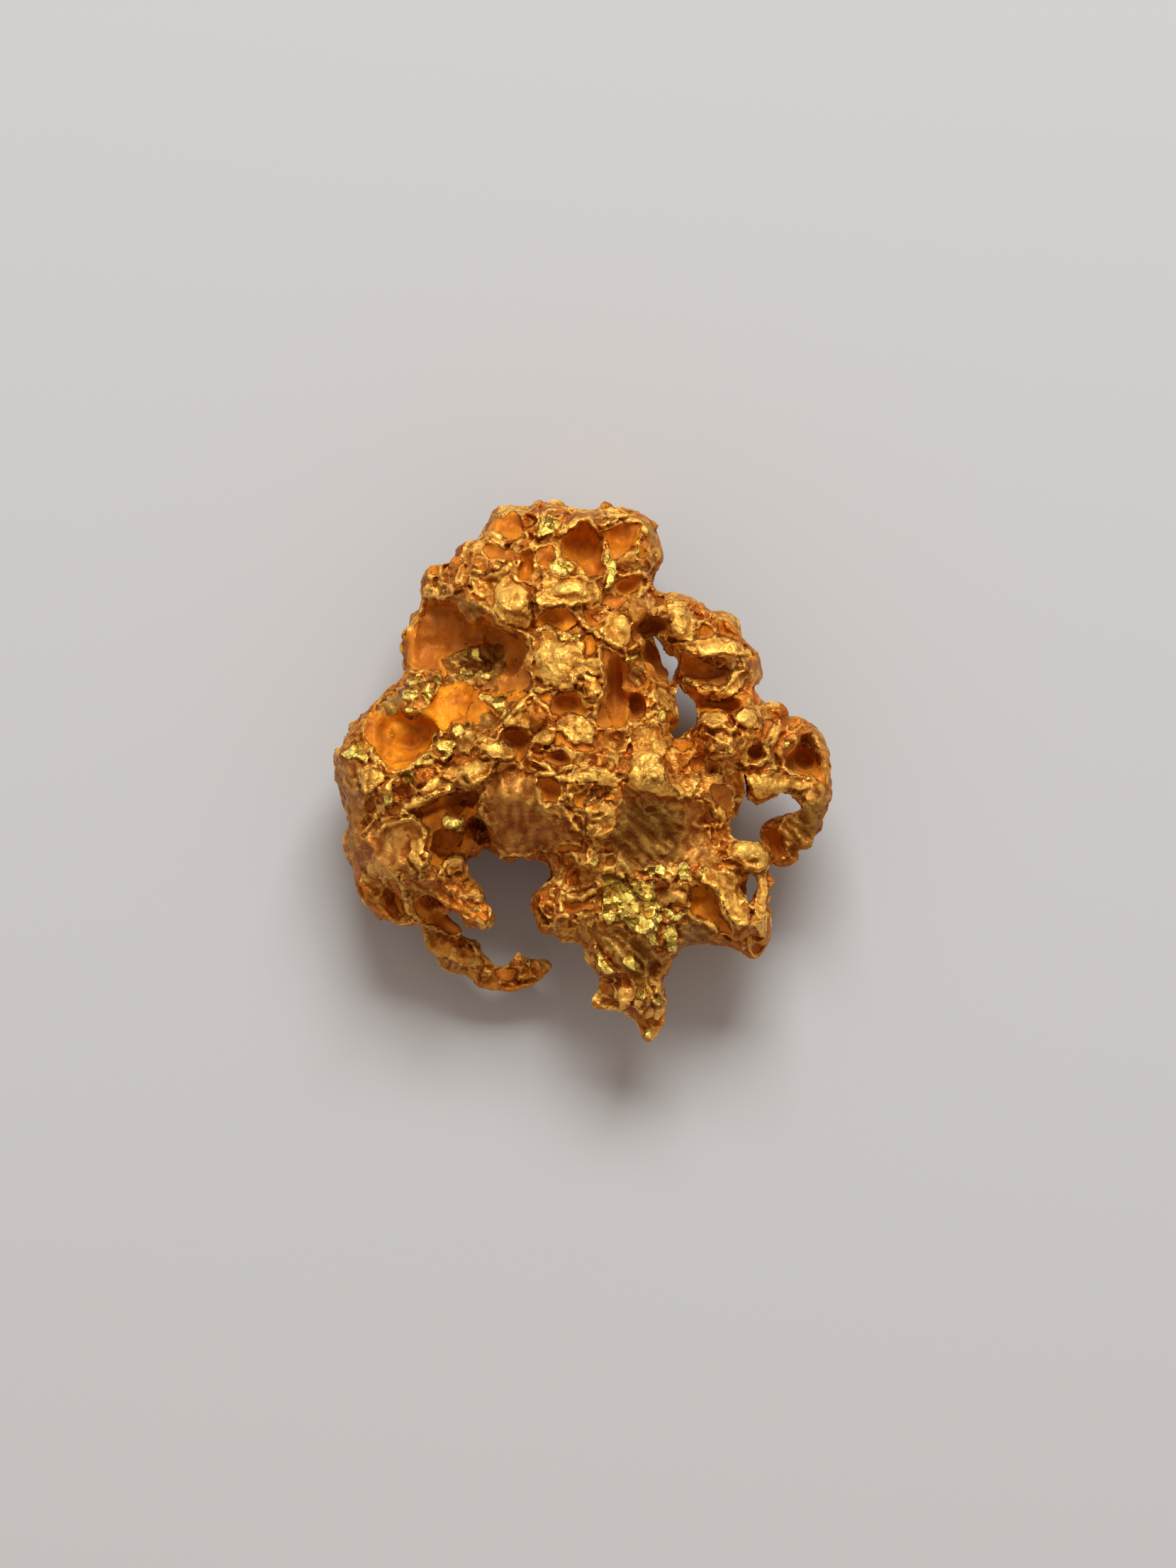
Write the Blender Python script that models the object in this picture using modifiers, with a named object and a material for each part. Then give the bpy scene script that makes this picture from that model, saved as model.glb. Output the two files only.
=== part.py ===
"""Natural gold nugget: one solid piece, lying on three low feet.

The nugget is drawn in plan as a crooked outline with its see-through gaps, and given its thickness
by two sets of spot heights, one for the upper face and one for the underside. Packed grains fill
that form. Raised plates, knobs and rims are grown onto it, pits and hollows are sunk into it, and
the feet are ground flat. Everything is worked out in millimetres and brought to metres at the end.
The origin is the middle of the underside, +Z up.
"""

import math
import random

import bmesh
import bpy
import numpy as np
from mathutils import Matrix, Vector
from mathutils.bvhtree import BVHTree

# Overall size of the finished nugget, in metres.
WIDTH = 0.0213
LENGTH = 0.0231
HEIGHT = 0.0099

# Grain and skin of the metal, in millimetres.
GRAIN_PITCH = 0.42
EDGE_GRAIN_PITCH = 0.24
LARGEST_GRAIN = 1.3
EDGE_ROUNDING = 2.4
VOXEL = 0.16
UNEVENNESS = 0.28
FOOT_DEPTH = 0.35
GAP_REACH = 13.0
GROUND_WIDTH = 40.0
GROUND_DEPTH = 10.0

# Seeded lumps and pits, and the triangles that the finished skin is brought down to.
SMALL_LUMPS = 320
LOW_LUMPS = 80
LOW_PITS = 110
TRIANGLES = 9300
SEED = 17

# Plan of the main mass, clockwise from the top lobe, in millimetres.
TOP_LOBE = [
    (-4.4, 10.3), (-4.2, 10.7), (-3.8, 11.1), (-3.2, 11.5), (-2.5, 11.4), (-1.6, 11.6),
    (-1.1, 11.6), (-0.7, 11.5), (-0.2, 11.3), (0.8, 11.4), (1.8, 11.4), (2.2, 11.3), (2.8, 11.0),
    (3.1, 10.6), (3.3, 10.1), (3.4, 9.6), (3.5, 9.2), (3.4, 8.9), (3.2, 8.9), (2.9, 8.5)]
RIGHT_SHOULDER = [
    (3.0, 7.9), (3.1, 7.7), (3.7, 7.7), (4.6, 7.6), (5.1, 7.2), (5.5, 6.9), (6.0, 6.8), (6.5, 6.5),
    (6.8, 6.0), (7.2, 5.6), (7.5, 5.2), (7.7, 4.9), (7.8, 4.3), (7.6, 4.0), (7.4, 3.9), (7.5, 3.5),
    (7.7, 3.2), (8.1, 3.0), (8.4, 2.6), (8.5, 2.2)]
HOOK = [
    (8.9, 2.5), (9.2, 2.5), (9.6, 2.5), (10.1, 2.0), (10.4, 1.4), (10.6, 0.9), (10.7, 0.0),
    (10.7, -0.7), (10.6, -1.2), (10.4, -1.7), (10.2, -2.1), (10.0, -2.5), (9.7, -3.0), (9.3, -3.3),
    (9.2, -3.7), (8.9, -3.8), (8.0, -3.8)]
LOWER_RIGHT = [
    (7.9, -4.2), (7.9, -5.4), (8.0, -6.2), (8.1, -6.9), (7.8, -7.6), (7.4, -7.9), (7.1, -7.8),
    (6.9, -7.4), (6.2, -7.3), (5.7, -7.4), (5.4, -7.1), (4.9, -7.3), (4.3, -7.3), (4.0, -7.7),
    (3.6, -8.0)]
SPIKE = [
    (3.5, -8.5), (3.5, -9.2), (3.6, -9.8), (3.4, -10.4), (3.1, -11.0), (3.0, -11.4), (2.7, -11.6),
    (2.5, -11.4), (2.5, -11.1), (2.4, -10.8), (2.1, -10.3), (1.2, -10.2), (0.7, -10.0),
    (0.3, -10.0), (0.3, -9.6), (0.6, -9.4), (0.7, -8.8), (0.5, -8.3), (0.3, -7.9), (-0.1, -7.8)]
BAY_LOBE = [
    (-0.1, -7.2), (-0.3, -7.1), (-0.8, -7.2), (-1.3, -6.9), (-1.7, -6.6), (-2.1, -6.1),
    (-2.3, -5.3), (-2.0, -5.0), (-1.6, -4.7), (-1.0, -4.2), (-1.4, -3.9)]
BAY_HEAD = [
    (-1.4, -3.6), (-1.9, -3.8), (-2.5, -3.6), (-3.3, -3.8), (-3.7, -3.3), (-4.4, -3.0),
    (-5.0, -3.5), (-5.1, -4.1)]
FINGER = [
    (-4.8, -4.5), (-4.5, -4.8), (-4.3, -5.2), (-4.0, -5.6), (-3.8, -6.0), (-3.9, -6.6),
    (-4.5, -6.7), (-5.2, -6.3), (-6.1, -5.8), (-6.7, -5.9)]
FLANK = [
    (-7.0, -6.4), (-7.9, -6.5), (-8.3, -6.4), (-8.7, -6.2), (-9.4, -5.7), (-9.7, -5.2),
    (-9.8, -4.5), (-9.9, -3.9), (-10.1, -3.3), (-10.1, -2.7), (-10.1, -2.1), (-10.1, -1.8),
    (-10.3, -1.2), (-10.5, -0.6), (-10.6, 0.0), (-10.7, 0.6), (-10.6, 1.2), (-10.4, 1.5),
    (-10.2, 1.9), (-9.8, 2.2), (-9.3, 2.8), (-8.5, 3.5), (-7.8, 4.1), (-7.5, 4.4)]
UPPER_LEFT = [
    (-7.7, 4.5), (-7.8, 4.9), (-7.7, 5.3), (-7.6, 5.9), (-7.3, 6.5), (-7.1, 7.1), (-7.0, 7.8),
    (-7.0, 8.4), (-6.8, 8.7), (-6.5, 9.0), (-6.2, 9.1), (-6.0, 9.0), (-5.8, 9.2), (-5.4, 9.4),
    (-5.1, 9.5), (-4.9, 9.8), (-4.7, 9.9), (-4.5, 10.0)]
MAIN_PLAN = (TOP_LOBE + RIGHT_SHOULDER + HOOK + LOWER_RIGHT + SPIKE + BAY_LOBE + BAY_HEAD + FINGER
             + FLANK + UPPER_LEFT)

# See-through gaps in the main mass.
UPPER_GAP = [
    (3.1, 5.7), (3.4, 5.45), (3.6, 5.05), (3.95, 4.85), (3.97, 4.5), (3.8, 4.1), (3.65, 4.05),
    (3.6, 4.4), (3.3, 5.1)]
MIDDLE_GAP = [
    (4.15, 3.6), (4.35, 3.3), (4.7, 3.0), (4.75, 2.7), (4.8, 2.25), (4.5, 1.95), (4.1, 1.65),
    (3.85, 1.85), (4.1, 2.2), (4.1, 2.7), (4.0, 3.2)]
HOOK_GAP = [
    (7.0, -1.1), (7.4, -1.4), (7.7, -1.35), (8.2, -1.05), (8.5, -0.95), (8.8, -1.15), (9.1, -1.5),
    (8.8, -1.7), (8.2, -1.85), (7.75, -2.05), (7.55, -2.35), (7.6, -2.7), (7.1, -2.7), (6.65, -2.6),
    (6.5, -2.0), (6.8, -1.75)]
RIM_GAP = [(7.08, -4.4), (7.38, -4.45), (7.42, -4.85), (7.3, -5.3), (7.1, -5.45), (6.98, -5.0)]
GAPS = [UPPER_GAP, MIDDLE_GAP, HOOK_GAP, RIM_GAP]

# The low arm, a separate limb that leaves the flank below the finger.
LOW_ARM = [
    (-7.6, -5.0), (-6.6, -5.4), (-5.9, -6.5), (-5.4, -6.8), (-4.9, -7.0), (-4.5, -7.4), (-4.4, -7.8),
    (-4.0, -8.0), (-3.7, -8.4), (-3.4, -8.2), (-3.0, -7.7), (-2.8, -7.3), (-2.7, -7.8),
    (-2.3, -7.9), (-1.9, -7.8), (-1.5, -8.0), (-1.4, -8.4), (-1.9, -8.9), (-2.3, -9.2),
    (-2.9, -9.3), (-3.5, -9.4), (-4.0, -9.3), (-4.8, -8.9), (-5.2, -8.6), (-5.8, -8.3),
    (-6.4, -7.8), (-6.9, -7.4), (-7.0, -7.1), (-6.8, -6.6), (-7.6, -6.0)]

# Spot heights of the upper face: x, y, height above the ground.
UPPER_SPOTS = [
    # top lobe and the steps down its left side
    (-3.2, 10.6, 7.2), (-1.4, 10.4, 7.8), (0.0, 9.9, 7.6), (1.2, 10.7, 8.0), (2.4, 10.0, 7.6),
    (3.2, 9.2, 6.2), (1.2, 8.6, 7.8), (-0.8, 8.1, 8.5), (-3.0, 7.4, 8.6), (-4.2, 7.9, 8.0),
    (-4.6, 9.3, 6.6), (-5.3, 8.7, 6.4), (-6.3, 8.4, 5.8), (-6.8, 7.2, 5.6),
    # upper left hollow and the shoulder below it
    (-6.2, 6.3, 5.8), (-4.7, 5.8, 5.6), (-3.0, 5.4, 7.0), (-7.2, 5.3, 5.4), (-6.2, 4.5, 6.4),
    (-4.5, 4.4, 6.4), (-3.3, 3.4, 7.4), (-7.2, 3.5, 7.3), (-5.2, 3.3, 7.0), (-8.8, 2.8, 6.8),
    # left bulk
    (-7.4, 1.7, 7.2), (-9.8, 0.9, 6.8), (-9.1, -0.3, 7.3), (-7.7, 0.1, 7.7), (-6.4, -0.5, 8.1),
    (-4.7, 0.7, 8.6), (-3.6, 0.9, 8.8), (-5.4, 1.3, 7.8), (-9.9, -1.8, 5.6), (-8.3, -1.4, 6.9),
    (-7.4, -2.3, 7.3), (-7.2, -3.6, 7.1), (-9.5, -3.6, 5.4), (-8.7, -5.2, 4.9), (-7.4, -5.4, 5.4),
    # hollow beneath the ledge, and the finger
    (-5.6, -1.5, 6.8), (-5.6, -2.9, 6.0), (-4.4, -2.2, 6.2), (-5.4, -3.9, 6.4), (-5.0, -4.8, 6.1),
    (-4.2, -6.0, 5.5),
    # centre
    (-2.6, 2.6, 8.8), (-2.9, 1.3, 8.6), (-1.0, 5.2, 9.2), (0.4, 5.2, 9.3), (-1.4, 6.7, 8.9),
    (0.4, 3.3, 9.8), (-0.8, 2.6, 9.3), (-1.6, 1.4, 9.4), (0.1, 1.6, 9.7), (0.8, 0.3, 9.6),
    (-1.0, -0.4, 9.2), (0.6, -1.6, 9.1), (-3.0, -0.6, 8.5), (-2.7, -1.9, 7.2), (-2.4, -3.2, 6.2),
    (-0.8, -2.8, 7.6), (0.5, -3.2, 7.8), (-0.4, -4.1, 7.0), (1.4, 3.6, 8.7), (2.3, 2.7, 8.2),
    (1.5, 6.3, 8.6), (2.2, 7.4, 7.7), (2.7, 6.0, 7.0), (3.1, 4.8, 6.8), (3.0, 3.3, 7.8),
    (3.0, 2.0, 8.7), (2.9, 0.2, 9.2), (3.4, -0.7, 8.8),
    # right shoulder, plate and hook
    (3.3, 7.3, 6.8), (4.1, 6.4, 7.4), (5.1, 6.5, 7.0), (6.1, 6.0, 6.4), (5.2, 5.3, 7.4),
    (6.6, 5.2, 6.6), (7.4, 4.6, 5.4), (5.3, 4.3, 6.9), (6.6, 4.1, 6.8), (5.6, 3.1, 6.6),
    (7.4, 3.1, 6.4), (8.1, 2.5, 6.0), (5.9, 1.7, 8.4), (6.6, 2.3, 7.8), (7.5, 1.6, 7.2),
    (4.6, 0.8, 8.2), (6.2, 0.0, 7.2), (4.6, -0.4, 8.3), (8.3, 1.2, 6.9), (9.3, 1.4, 5.9),
    (9.6, 0.4, 5.6), (10.3, 0.4, 5.6), (8.6, -0.4, 6.8), (7.5, -0.6, 6.6), (9.9, -1.0, 6.4),
    (9.8, -2.2, 5.6), (8.9, -2.8, 5.0), (8.2, -3.2, 4.6),
    # lower right
    (6.4, -1.2, 6.4), (5.4, -1.6, 6.9), (3.6, -2.4, 6.9), (2.2, -2.0, 7.7), (1.6, -3.2, 7.0),
    (6.0, -3.2, 6.8), (7.2, -3.3, 6.9), (7.6, -4.8, 6.0), (5.6, -4.3, 6.6), (5.2, -5.4, 6.2),
    (6.6, -5.9, 6.2), (7.5, -7.2, 5.0), (4.6, -6.8, 4.9), (3.4, -4.0, 6.6),
    # foil patch, bay lobe and spike
    (2.0, -5.0, 6.9), (2.6, -6.2, 6.5), (3.8, -6.6, 6.2), (-1.6, -5.6, 6.2), (-0.3, -5.4, 6.9),
    (-0.6, -6.6, 5.7), (0.7, -6.9, 6.2), (1.7, -8.2, 5.7), (0.9, -9.6, 4.9), (2.9, -8.6, 5.4),
    (2.5, -9.8, 5.1), (2.8, -11.0, 4.2)]

# Spot heights of the underside. Heights below zero are feet.
LOWER_SPOTS = [
    (-3.0, 10.4, 1.6), (0.6, 9.2, -0.5), (-1.4, 8.0, -0.4), (2.8, 9.6, 2.0), (-5.6, 8.4, 2.6),
    (-6.8, 5.8, 2.2), (-4.4, 5.2, 1.0), (-9.4, 1.4, 1.8), (-7.6, 1.6, -0.3), (-7.4, -1.4, -0.6),
    (-6.0, -0.2, -0.4), (-9.4, -3.4, 1.8), (-8.6, -5.4, 1.8), (-5.6, -3.4, 1.6), (-4.4, -5.8, 3.2),
    (-3.4, 0.6, 0.6), (-2.4, -2.8, 2.2), (0.2, 4.4, 0.9), (0.6, 1.0, 0.8), (0.6, -2.0, 1.2),
    (3.4, 6.4, 2.2), (6.4, 5.6, 3.0), (5.8, 3.6, 2.6), (3.4, 2.6, 0.9), (3.8, -0.6, -0.5),
    (5.6, 0.6, 0.4), (4.4, -2.4, -0.6), (7.8, 2.0, 2.8), (9.8, 0.6, 2.9), (9.8, -1.8, 3.0),
    (8.4, -3.2, 2.4), (8.4, -0.6, 3.8), (6.6, -2.6, 1.6), (7.4, -5.0, 2.6), (5.4, -5.6, 2.2),
    (7.4, -7.2, 2.8), (2.0, -5.2, 0.8), (3.6, -7.0, 2.6), (-1.4, -5.8, 3.0), (1.2, -8.2, 2.6),
    (2.6, -9.8, 2.8), (2.8, -11.0, 2.9), (0.8, -9.8, 3.2)]

# Heights of the low arm, upper face and underside.
ARM_UPPER_SPOTS = [
    (-7.2, -5.6, 4.2), (-6.2, -6.9, 3.8), (-5.2, -7.6, 3.5), (-4.2, -8.5, 2.9), (-3.0, -8.6, 2.4),
    (-1.8, -8.3, 2.5), (-2.8, -7.6, 2.8)]
ARM_LOWER_SPOTS = [
    (-7.2, -5.6, 1.6), (-6.2, -6.9, 1.2), (-4.6, -8.2, 0.7), (-3.0, -8.8, 0.4), (-1.8, -8.4, 0.7),
    (-2.8, -7.6, 1.3)]

# Plates and knobs that stand proud: x, y, half length, half width, turn in degrees, rise.
RAISED = [
    (-2.9, 7.3, 1.0, 0.75, -20, 0.4), (-0.6, 7.7, 1.1, 0.5, 0, 0.4), (0.45, 3.35, 0.45, 0.6, 0, 0.6),
    (-3.7, 0.9, 0.8, 0.5, -10, 0.45), (-5.0, 0.15, 0.85, 0.5, 10, 0.5), (-6.6, -0.5, 0.8, 0.5, 30, 0.4),
    (-5.5, -2.1, 0.45, 0.35, -10, 1.0), (-5.4, -3.8, 0.45, 0.35, 60, 0.6), (7.1, -3.3, 0.85, 0.6, 0, 0.4),
    (9.1, 1.7, 0.3, 0.25, 0, 0.5), (8.8, 1.25, 0.25, 0.25, 0, 0.4), (2.8, 0.1, 0.9, 1.0, 30, 0.4),
    (-6.3, 8.6, 0.55, 0.45, 0, 0.5), (-5.4, 8.9, 0.45, 0.4, 0, 0.4), (-4.6, 9.5, 0.4, 0.4, 0, 0.5),
    (4.1, 6.5, 0.5, 0.8, 0, 0.4), (5.3, 5.3, 1.5, 0.35, 0, 0.4), (5.8, 1.6, 1.0, 0.9, 0, 0.4),
    (-1.2, 5.0, 0.9, 1.0, 0, 0.35), (0.4, 1.0, 0.7, 0.4, -10, 0.4), (0.8, -1.4, 0.5, 0.35, 0, 0.4),
    (0.6, -2.5, 0.4, 0.5, 0, 0.4), (0.2, -3.6, 0.5, 0.35, -20, 0.4), (-3.0, -0.7, 0.6, 0.45, 0, 0.3),
    (2.2, -4.9, 0.8, 0.5, -20, 0.4), (2.4, -6.2, 0.9, 0.4, -35, 0.4), (4.0, -6.1, 0.6, 0.35, -10, 0.4),
    (-1.7, -5.7, 0.45, 0.7, 0, 0.3), (-4.3, -6.0, 0.45, 0.8, 35, 0.3), (9.7, -0.9, 0.55, 0.5, 0, 0.3),
    (7.9, -0.5, 0.8, 0.35, 5, 0.3), (-9.7, 0.9, 0.5, 0.35, -15, 0.4), (-7.3, 3.5, 0.5, 0.4, 0, 0.5),
    (-8.8, -0.2, 0.4, 0.7, 20, 0.3), (3.1, -9.8, 0.3, 0.6, 10, 0.3), (1.7, -7.8, 0.4, 0.8, 30, 0.3)]

# Thorns and tips: base, point, base radius and point radius.
THORNS = [
    ((-2.9, -8.3, 2.3), (-2.75, -7.25, 2.9), 0.34, 0.12), ((2.8, -10.5, 3.8), (2.75, -11.6, 3.6), 0.5, 0.24),
    ((3.1, 9.5, 5.6), (3.3, 8.9, 5.2), 0.4, 0.2), ((-1.4, -5.1, 5.4), (-1.65, -4.5, 5.8), 0.3, 0.14),
    ((1.0, -9.8, 4.2), (0.3, -9.8, 4.3), 0.4, 0.2), ((7.5, -7.2, 4.2), (7.4, -7.9, 3.9), 0.5, 0.3),
    ((-4.3, -6.0, 4.6), (-3.9, -6.6, 4.4), 0.5, 0.25), ((-1.9, -8.3, 1.7), (-1.4, -8.35, 2.0), 0.4, 0.2)]

# Rims and lips: thickness, then the points that they pass through.
RIMS = [
    (0.22, [(-0.7, 10.3), (-0.35, 10.7), (0.05, 10.8), (0.4, 10.6), (0.7, 10.35)]),
    (0.24, [(-4.4, 7.2), (-3.7, 6.8), (-3.1, 6.15), (-2.4, 5.8)]),
    (0.16, [(-3.85, 1.7), (-3.2, 2.2), (-2.6, 2.9), (-2.0, 3.5)]),
    (0.28, [(6.8, 4.6), (6.3, 3.9), (5.7, 3.35), (5.1, 3.5), (4.7, 3.9), (4.3, 3.95)]),
    (0.34, [(4.9, -4.1), (5.6, -4.6), (6.2, -5.4), (6.8, -6.3), (7.5, -6.5)]),
    (0.24, [(6.0, -4.0), (6.5, -4.6), (6.8, -5.3), (7.2, -5.8)]),
    (0.28, [(7.7, -3.9), (7.7, -5.0), (7.75, -6.2), (7.6, -7.2)]),
    (0.26, [(-7.4, -1.2), (-6.7, -1.0), (-6.1, -0.75), (-5.6, -0.1), (-5.0, -0.35), (-4.3, -0.2)]),
    (0.28, [(7.1, -0.3), (8.3, -0.3), (9.3, -0.3), (9.95, -0.6), (10.15, -1.3)]),
    (0.26, [(-7.6, -1.9), (-7.0, -2.0), (-6.6, -2.7), (-7.0, -3.3), (-6.9, -4.2), (-6.4, -4.7)]),
    (0.24, [(8.0, 0.9), (8.0, 1.5), (8.2, 2.0), (8.8, 2.2)]),
    (0.24, [(9.4, 2.2), (10.0, 1.6), (10.4, 0.7), (10.45, -0.4)]),
    (0.20, [(-8.8, 2.6), (-8.3, 3.0), (-7.7, 2.7), (-6.9, 2.8), (-6.3, 2.6)]),
    (0.20, [(0.7, 5.0), (0.8, 4.3), (0.85, 3.4), (0.6, 2.6)])]

# Pits and hollows: x, y, half length, half width, turn in degrees, depth.
PITS = [
    # top lobe
    (-3.0, 10.8, 0.75, 0.6, 0, 0.7), (-1.3, 11.0, 0.35, 0.16, 0, 0.6), (-1.6, 9.9, 0.35, 0.16, 10, 0.5),
    (-2.5, 8.9, 0.65, 0.45, 90, 0.8), (-3.45, 8.8, 0.25, 0.12, 0, 0.5), (-4.9, 8.2, 0.2, 0.2, 0, 0.5),
    (-6.3, 8.75, 0.3, 0.24, 30, 0.4), (0.0, 9.8, 0.95, 0.95, 0, 1.4), (1.6, 10.2, 0.9, 0.7, 0, 1.0),
    (0.45, 8.9, 0.45, 0.55, 0, 1.2), (-1.5, 9.0, 0.5, 0.32, 70, 0.5), (1.9, 8.0, 0.8, 0.26, 12, 1.0),
    (1.1, 7.15, 0.75, 0.2, 8, 0.8), (-1.4, 6.6, 0.75, 0.5, 0, 0.7), (0.5, 6.6, 0.45, 0.35, -20, 0.7),
    (0.3, 5.6, 0.35, 0.45, 0, 0.4),
    # upper left hollow
    (-6.0, 6.3, 1.35, 1.2, 0, 1.9), (-4.6, 5.3, 1.5, 1.1, 20, 2.0), (-3.2, 5.2, 0.85, 1.1, 0, 1.5),
    (-6.9, 5.2, 0.6, 0.8, 0, 1.2), (-4.6, 5.7, 0.55, 0.3, 15, 3.0), (-6.35, 4.6, 0.22, 0.22, 0, 0.6),
    (-5.0, 3.35, 0.5, 0.4, 0, 0.6),
    # centre
    (1.4, 3.6, 0.5, 1.7, 0, 2.2), (2.3, 2.9, 0.4, 0.85, 0, 2.9), (2.9, 6.3, 0.8, 0.5, 0, 1.6),
    (3.0, 5.0, 0.5, 1.0, 15, 1.9), (2.2, 5.1, 0.4, 0.3, 0, 0.9), (-0.7, 3.0, 0.7, 0.45, 0, 0.9),
    (-1.8, 3.3, 0.35, 0.25, 10, 0.5), (-2.9, 1.45, 0.6, 0.65, -20, 1.0), (-1.0, 0.8, 0.38, 0.36, 0, 0.8),
    (-1.4, -0.7, 0.42, 0.5, 0, 0.8), (-0.2, -2.1, 0.2, 0.3, 0, 0.5), (0.5, -0.8, 0.4, 0.28, 20, 0.4),
    (-0.6, -0.9, 0.2, 0.4, 0, 0.4), (0.05, 3.95, 0.2, 0.22, 0, 0.5),
    # right shoulder, plate and hook
    (5.15, 5.9, 0.4, 0.3, 0, 0.6), (6.05, 6.1, 0.55, 0.42, -40, 0.8), (5.3, 4.5, 1.15, 0.55, 5, 1.5),
    (5.8, 3.1, 1.15, 0.42, -12, 1.7), (5.5, 0.15, 0.32, 0.32, 0, 1.3), (7.4, 0.95, 0.42, 0.42, 0, 1.3),
    (7.8, 1.9, 0.25, 0.4, -20, 0.8), (4.8, 0.5, 0.32, 0.26, 0, 0.6), (9.6, 0.7, 0.75, 0.62, -35, 2.0),
    (8.9, 0.5, 0.4, 0.35, -35, 1.2), (9.7, 1.5, 0.4, 0.35, 0, 1.0), (8.3, -2.9, 0.4, 0.75, 10, 0.9),
    (5.4, -1.6, 0.22, 0.45, 10, 0.9), (5.7, -2.8, 0.22, 0.26, 0, 0.5),
    # left bulk
    (-7.6, 1.8, 1.6, 0.95, -10, 1.5), (-8.0, 0.9, 1.0, 0.5, 0, 0.9), (-5.0, 0.75, 0.25, 0.2, 0, 0.5),
    (-9.1, -1.35, 0.3, 0.36, 0, 0.7), (-9.4, -2.75, 0.3, 0.16, 20, 0.4), (-6.6, -1.4, 1.0, 0.3, 25, 1.2),
    (-5.2, -1.0, 1.0, 0.35, 12, 1.5), (-5.8, -2.9, 0.95, 0.75, 0, 2.0), (-4.6, -2.5, 0.6, 0.9, 0, 2.6),
    (-9.0, -4.5, 0.5, 0.32, -35, 0.8), (-8.3, -5.3, 0.7, 0.42, -40, 0.7),
    (-6.2, -5.7, 1.2, 0.36, -30, 1.6),
    # lower right, bay lobe and spike
    (5.2, -5.4, 0.9, 0.55, -50, 1.2), (3.4, -5.0, 0.4, 0.3, 0, 0.9), (4.0, -5.6, 0.4, 0.15, -10, 0.5),
    (6.8, -4.9, 0.3, 0.4, 0, 1.0), (7.3, -3.75, 0.22, 0.14, 0, 0.4), (-0.4, -5.7, 0.65, 0.2, 0, 0.9),
    (-0.4, -4.8, 0.5, 0.16, 0, 0.5), (-1.2, -5.4, 0.14, 0.5, 0, 0.5), (2.1, -7.1, 0.34, 0.2, -20, 0.4),
    (2.2, -8.5, 0.3, 0.16, -40, 0.6), (3.1, -8.2, 0.3, 0.4, 30, 0.8), (1.1, -9.6, 0.36, 0.22, 0, 0.6),
    (7.5, -7.4, 0.3, 0.3, 0, 0.5), (1.0, -8.8, 0.3, 0.2, 0, 0.5)]

GOLD_COLOUR = (0.62, 0.33, 0.075, 1.0)
GOLD_ROUGHNESS = 0.42


def clear_scene():
    for thing in list(bpy.data.objects):
        bpy.data.objects.remove(thing, do_unlink=True)


def curved_loop(points, steps=3):
    """The closed Catmull-Rom curve through the points, as an array of x, y."""
    here = np.array(points, dtype=float)
    before = np.roll(here, 1, axis=0)
    after = np.roll(here, -1, axis=0)
    beyond = np.roll(here, -2, axis=0)
    runs = []
    for step in range(steps):
        t = step / steps
        runs.append(0.5 * (2 * here + (after - before) * t
                           + (2 * before - 5 * here + 4 * after - beyond) * t ** 2
                           + (3 * here - before - 3 * after + beyond) * t ** 3))
    return np.stack(runs, axis=1).reshape(-1, 2)


def is_inside(spots, loop):
    """True for each spot that lies inside the closed loop."""
    ends = np.roll(loop, -1, axis=0)
    x = spots[:, None, 0]
    y = spots[:, None, 1]
    straddles = (loop[None, :, 1] > y) != (ends[None, :, 1] > y)
    rise = ends[None, :, 1] - loop[None, :, 1]
    rise = np.where(rise == 0, 1e-9, rise)
    crossing = loop[None, :, 0] + (y - loop[None, :, 1]) * (ends[None, :, 0] - loop[None, :, 0]) / rise
    return (straddles & (x < crossing)).sum(axis=1) % 2 == 1


def edge_distance(spots, loop):
    """Distance of each spot from the line of the loop."""
    run = np.roll(loop, -1, axis=0) - loop
    offset = spots[:, None, :] - loop[None, :, :]
    along = (offset * run[None]).sum(axis=2) / np.maximum((run ** 2).sum(axis=1), 1e-9)[None]
    nearest = offset - np.clip(along, 0, 1)[..., None] * run[None]
    return np.sqrt((nearest ** 2).sum(axis=2)).min(axis=1)


def spot_height(x, y, heights):
    """Height at a place, blended from the spot heights around it."""
    table = np.array(heights)
    weight = 1 / ((table[:, 0] - x) ** 2 + (table[:, 1] - y) ** 2 + 0.08) ** 1.7
    return float((weight * table[:, 2]).sum() / weight.sum())


def plan_places(plan, gaps, pitch, shyest, boldest, dice):
    """Scattered places inside the plan, each with its distance from the nearest edge."""
    loops = [curved_loop(plan)] + [curved_loop(gap) for gap in gaps]
    low = loops[0].min(axis=0)
    high = loops[0].max(axis=0)
    columns = np.arange(low[0], high[0], pitch)
    rows = np.arange(low[1], high[1], pitch)
    grid = np.array([(x, y) for x in columns for y in rows])
    grid += np.array([(dice.uniform(-0.3, 0.3), dice.uniform(-0.3, 0.3)) for _ in grid]) * pitch
    solid = is_inside(grid, loops[0])
    for gap in loops[1:]:
        solid &= ~is_inside(grid, gap)
    grid = grid[solid]
    distance = np.min([edge_distance(grid, loop) for loop in loops], axis=0)
    wanted = (distance > shyest) & (distance < boldest)
    return [(x, y, d) for (x, y), d in zip(grid[wanted], distance[wanted])]


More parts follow.
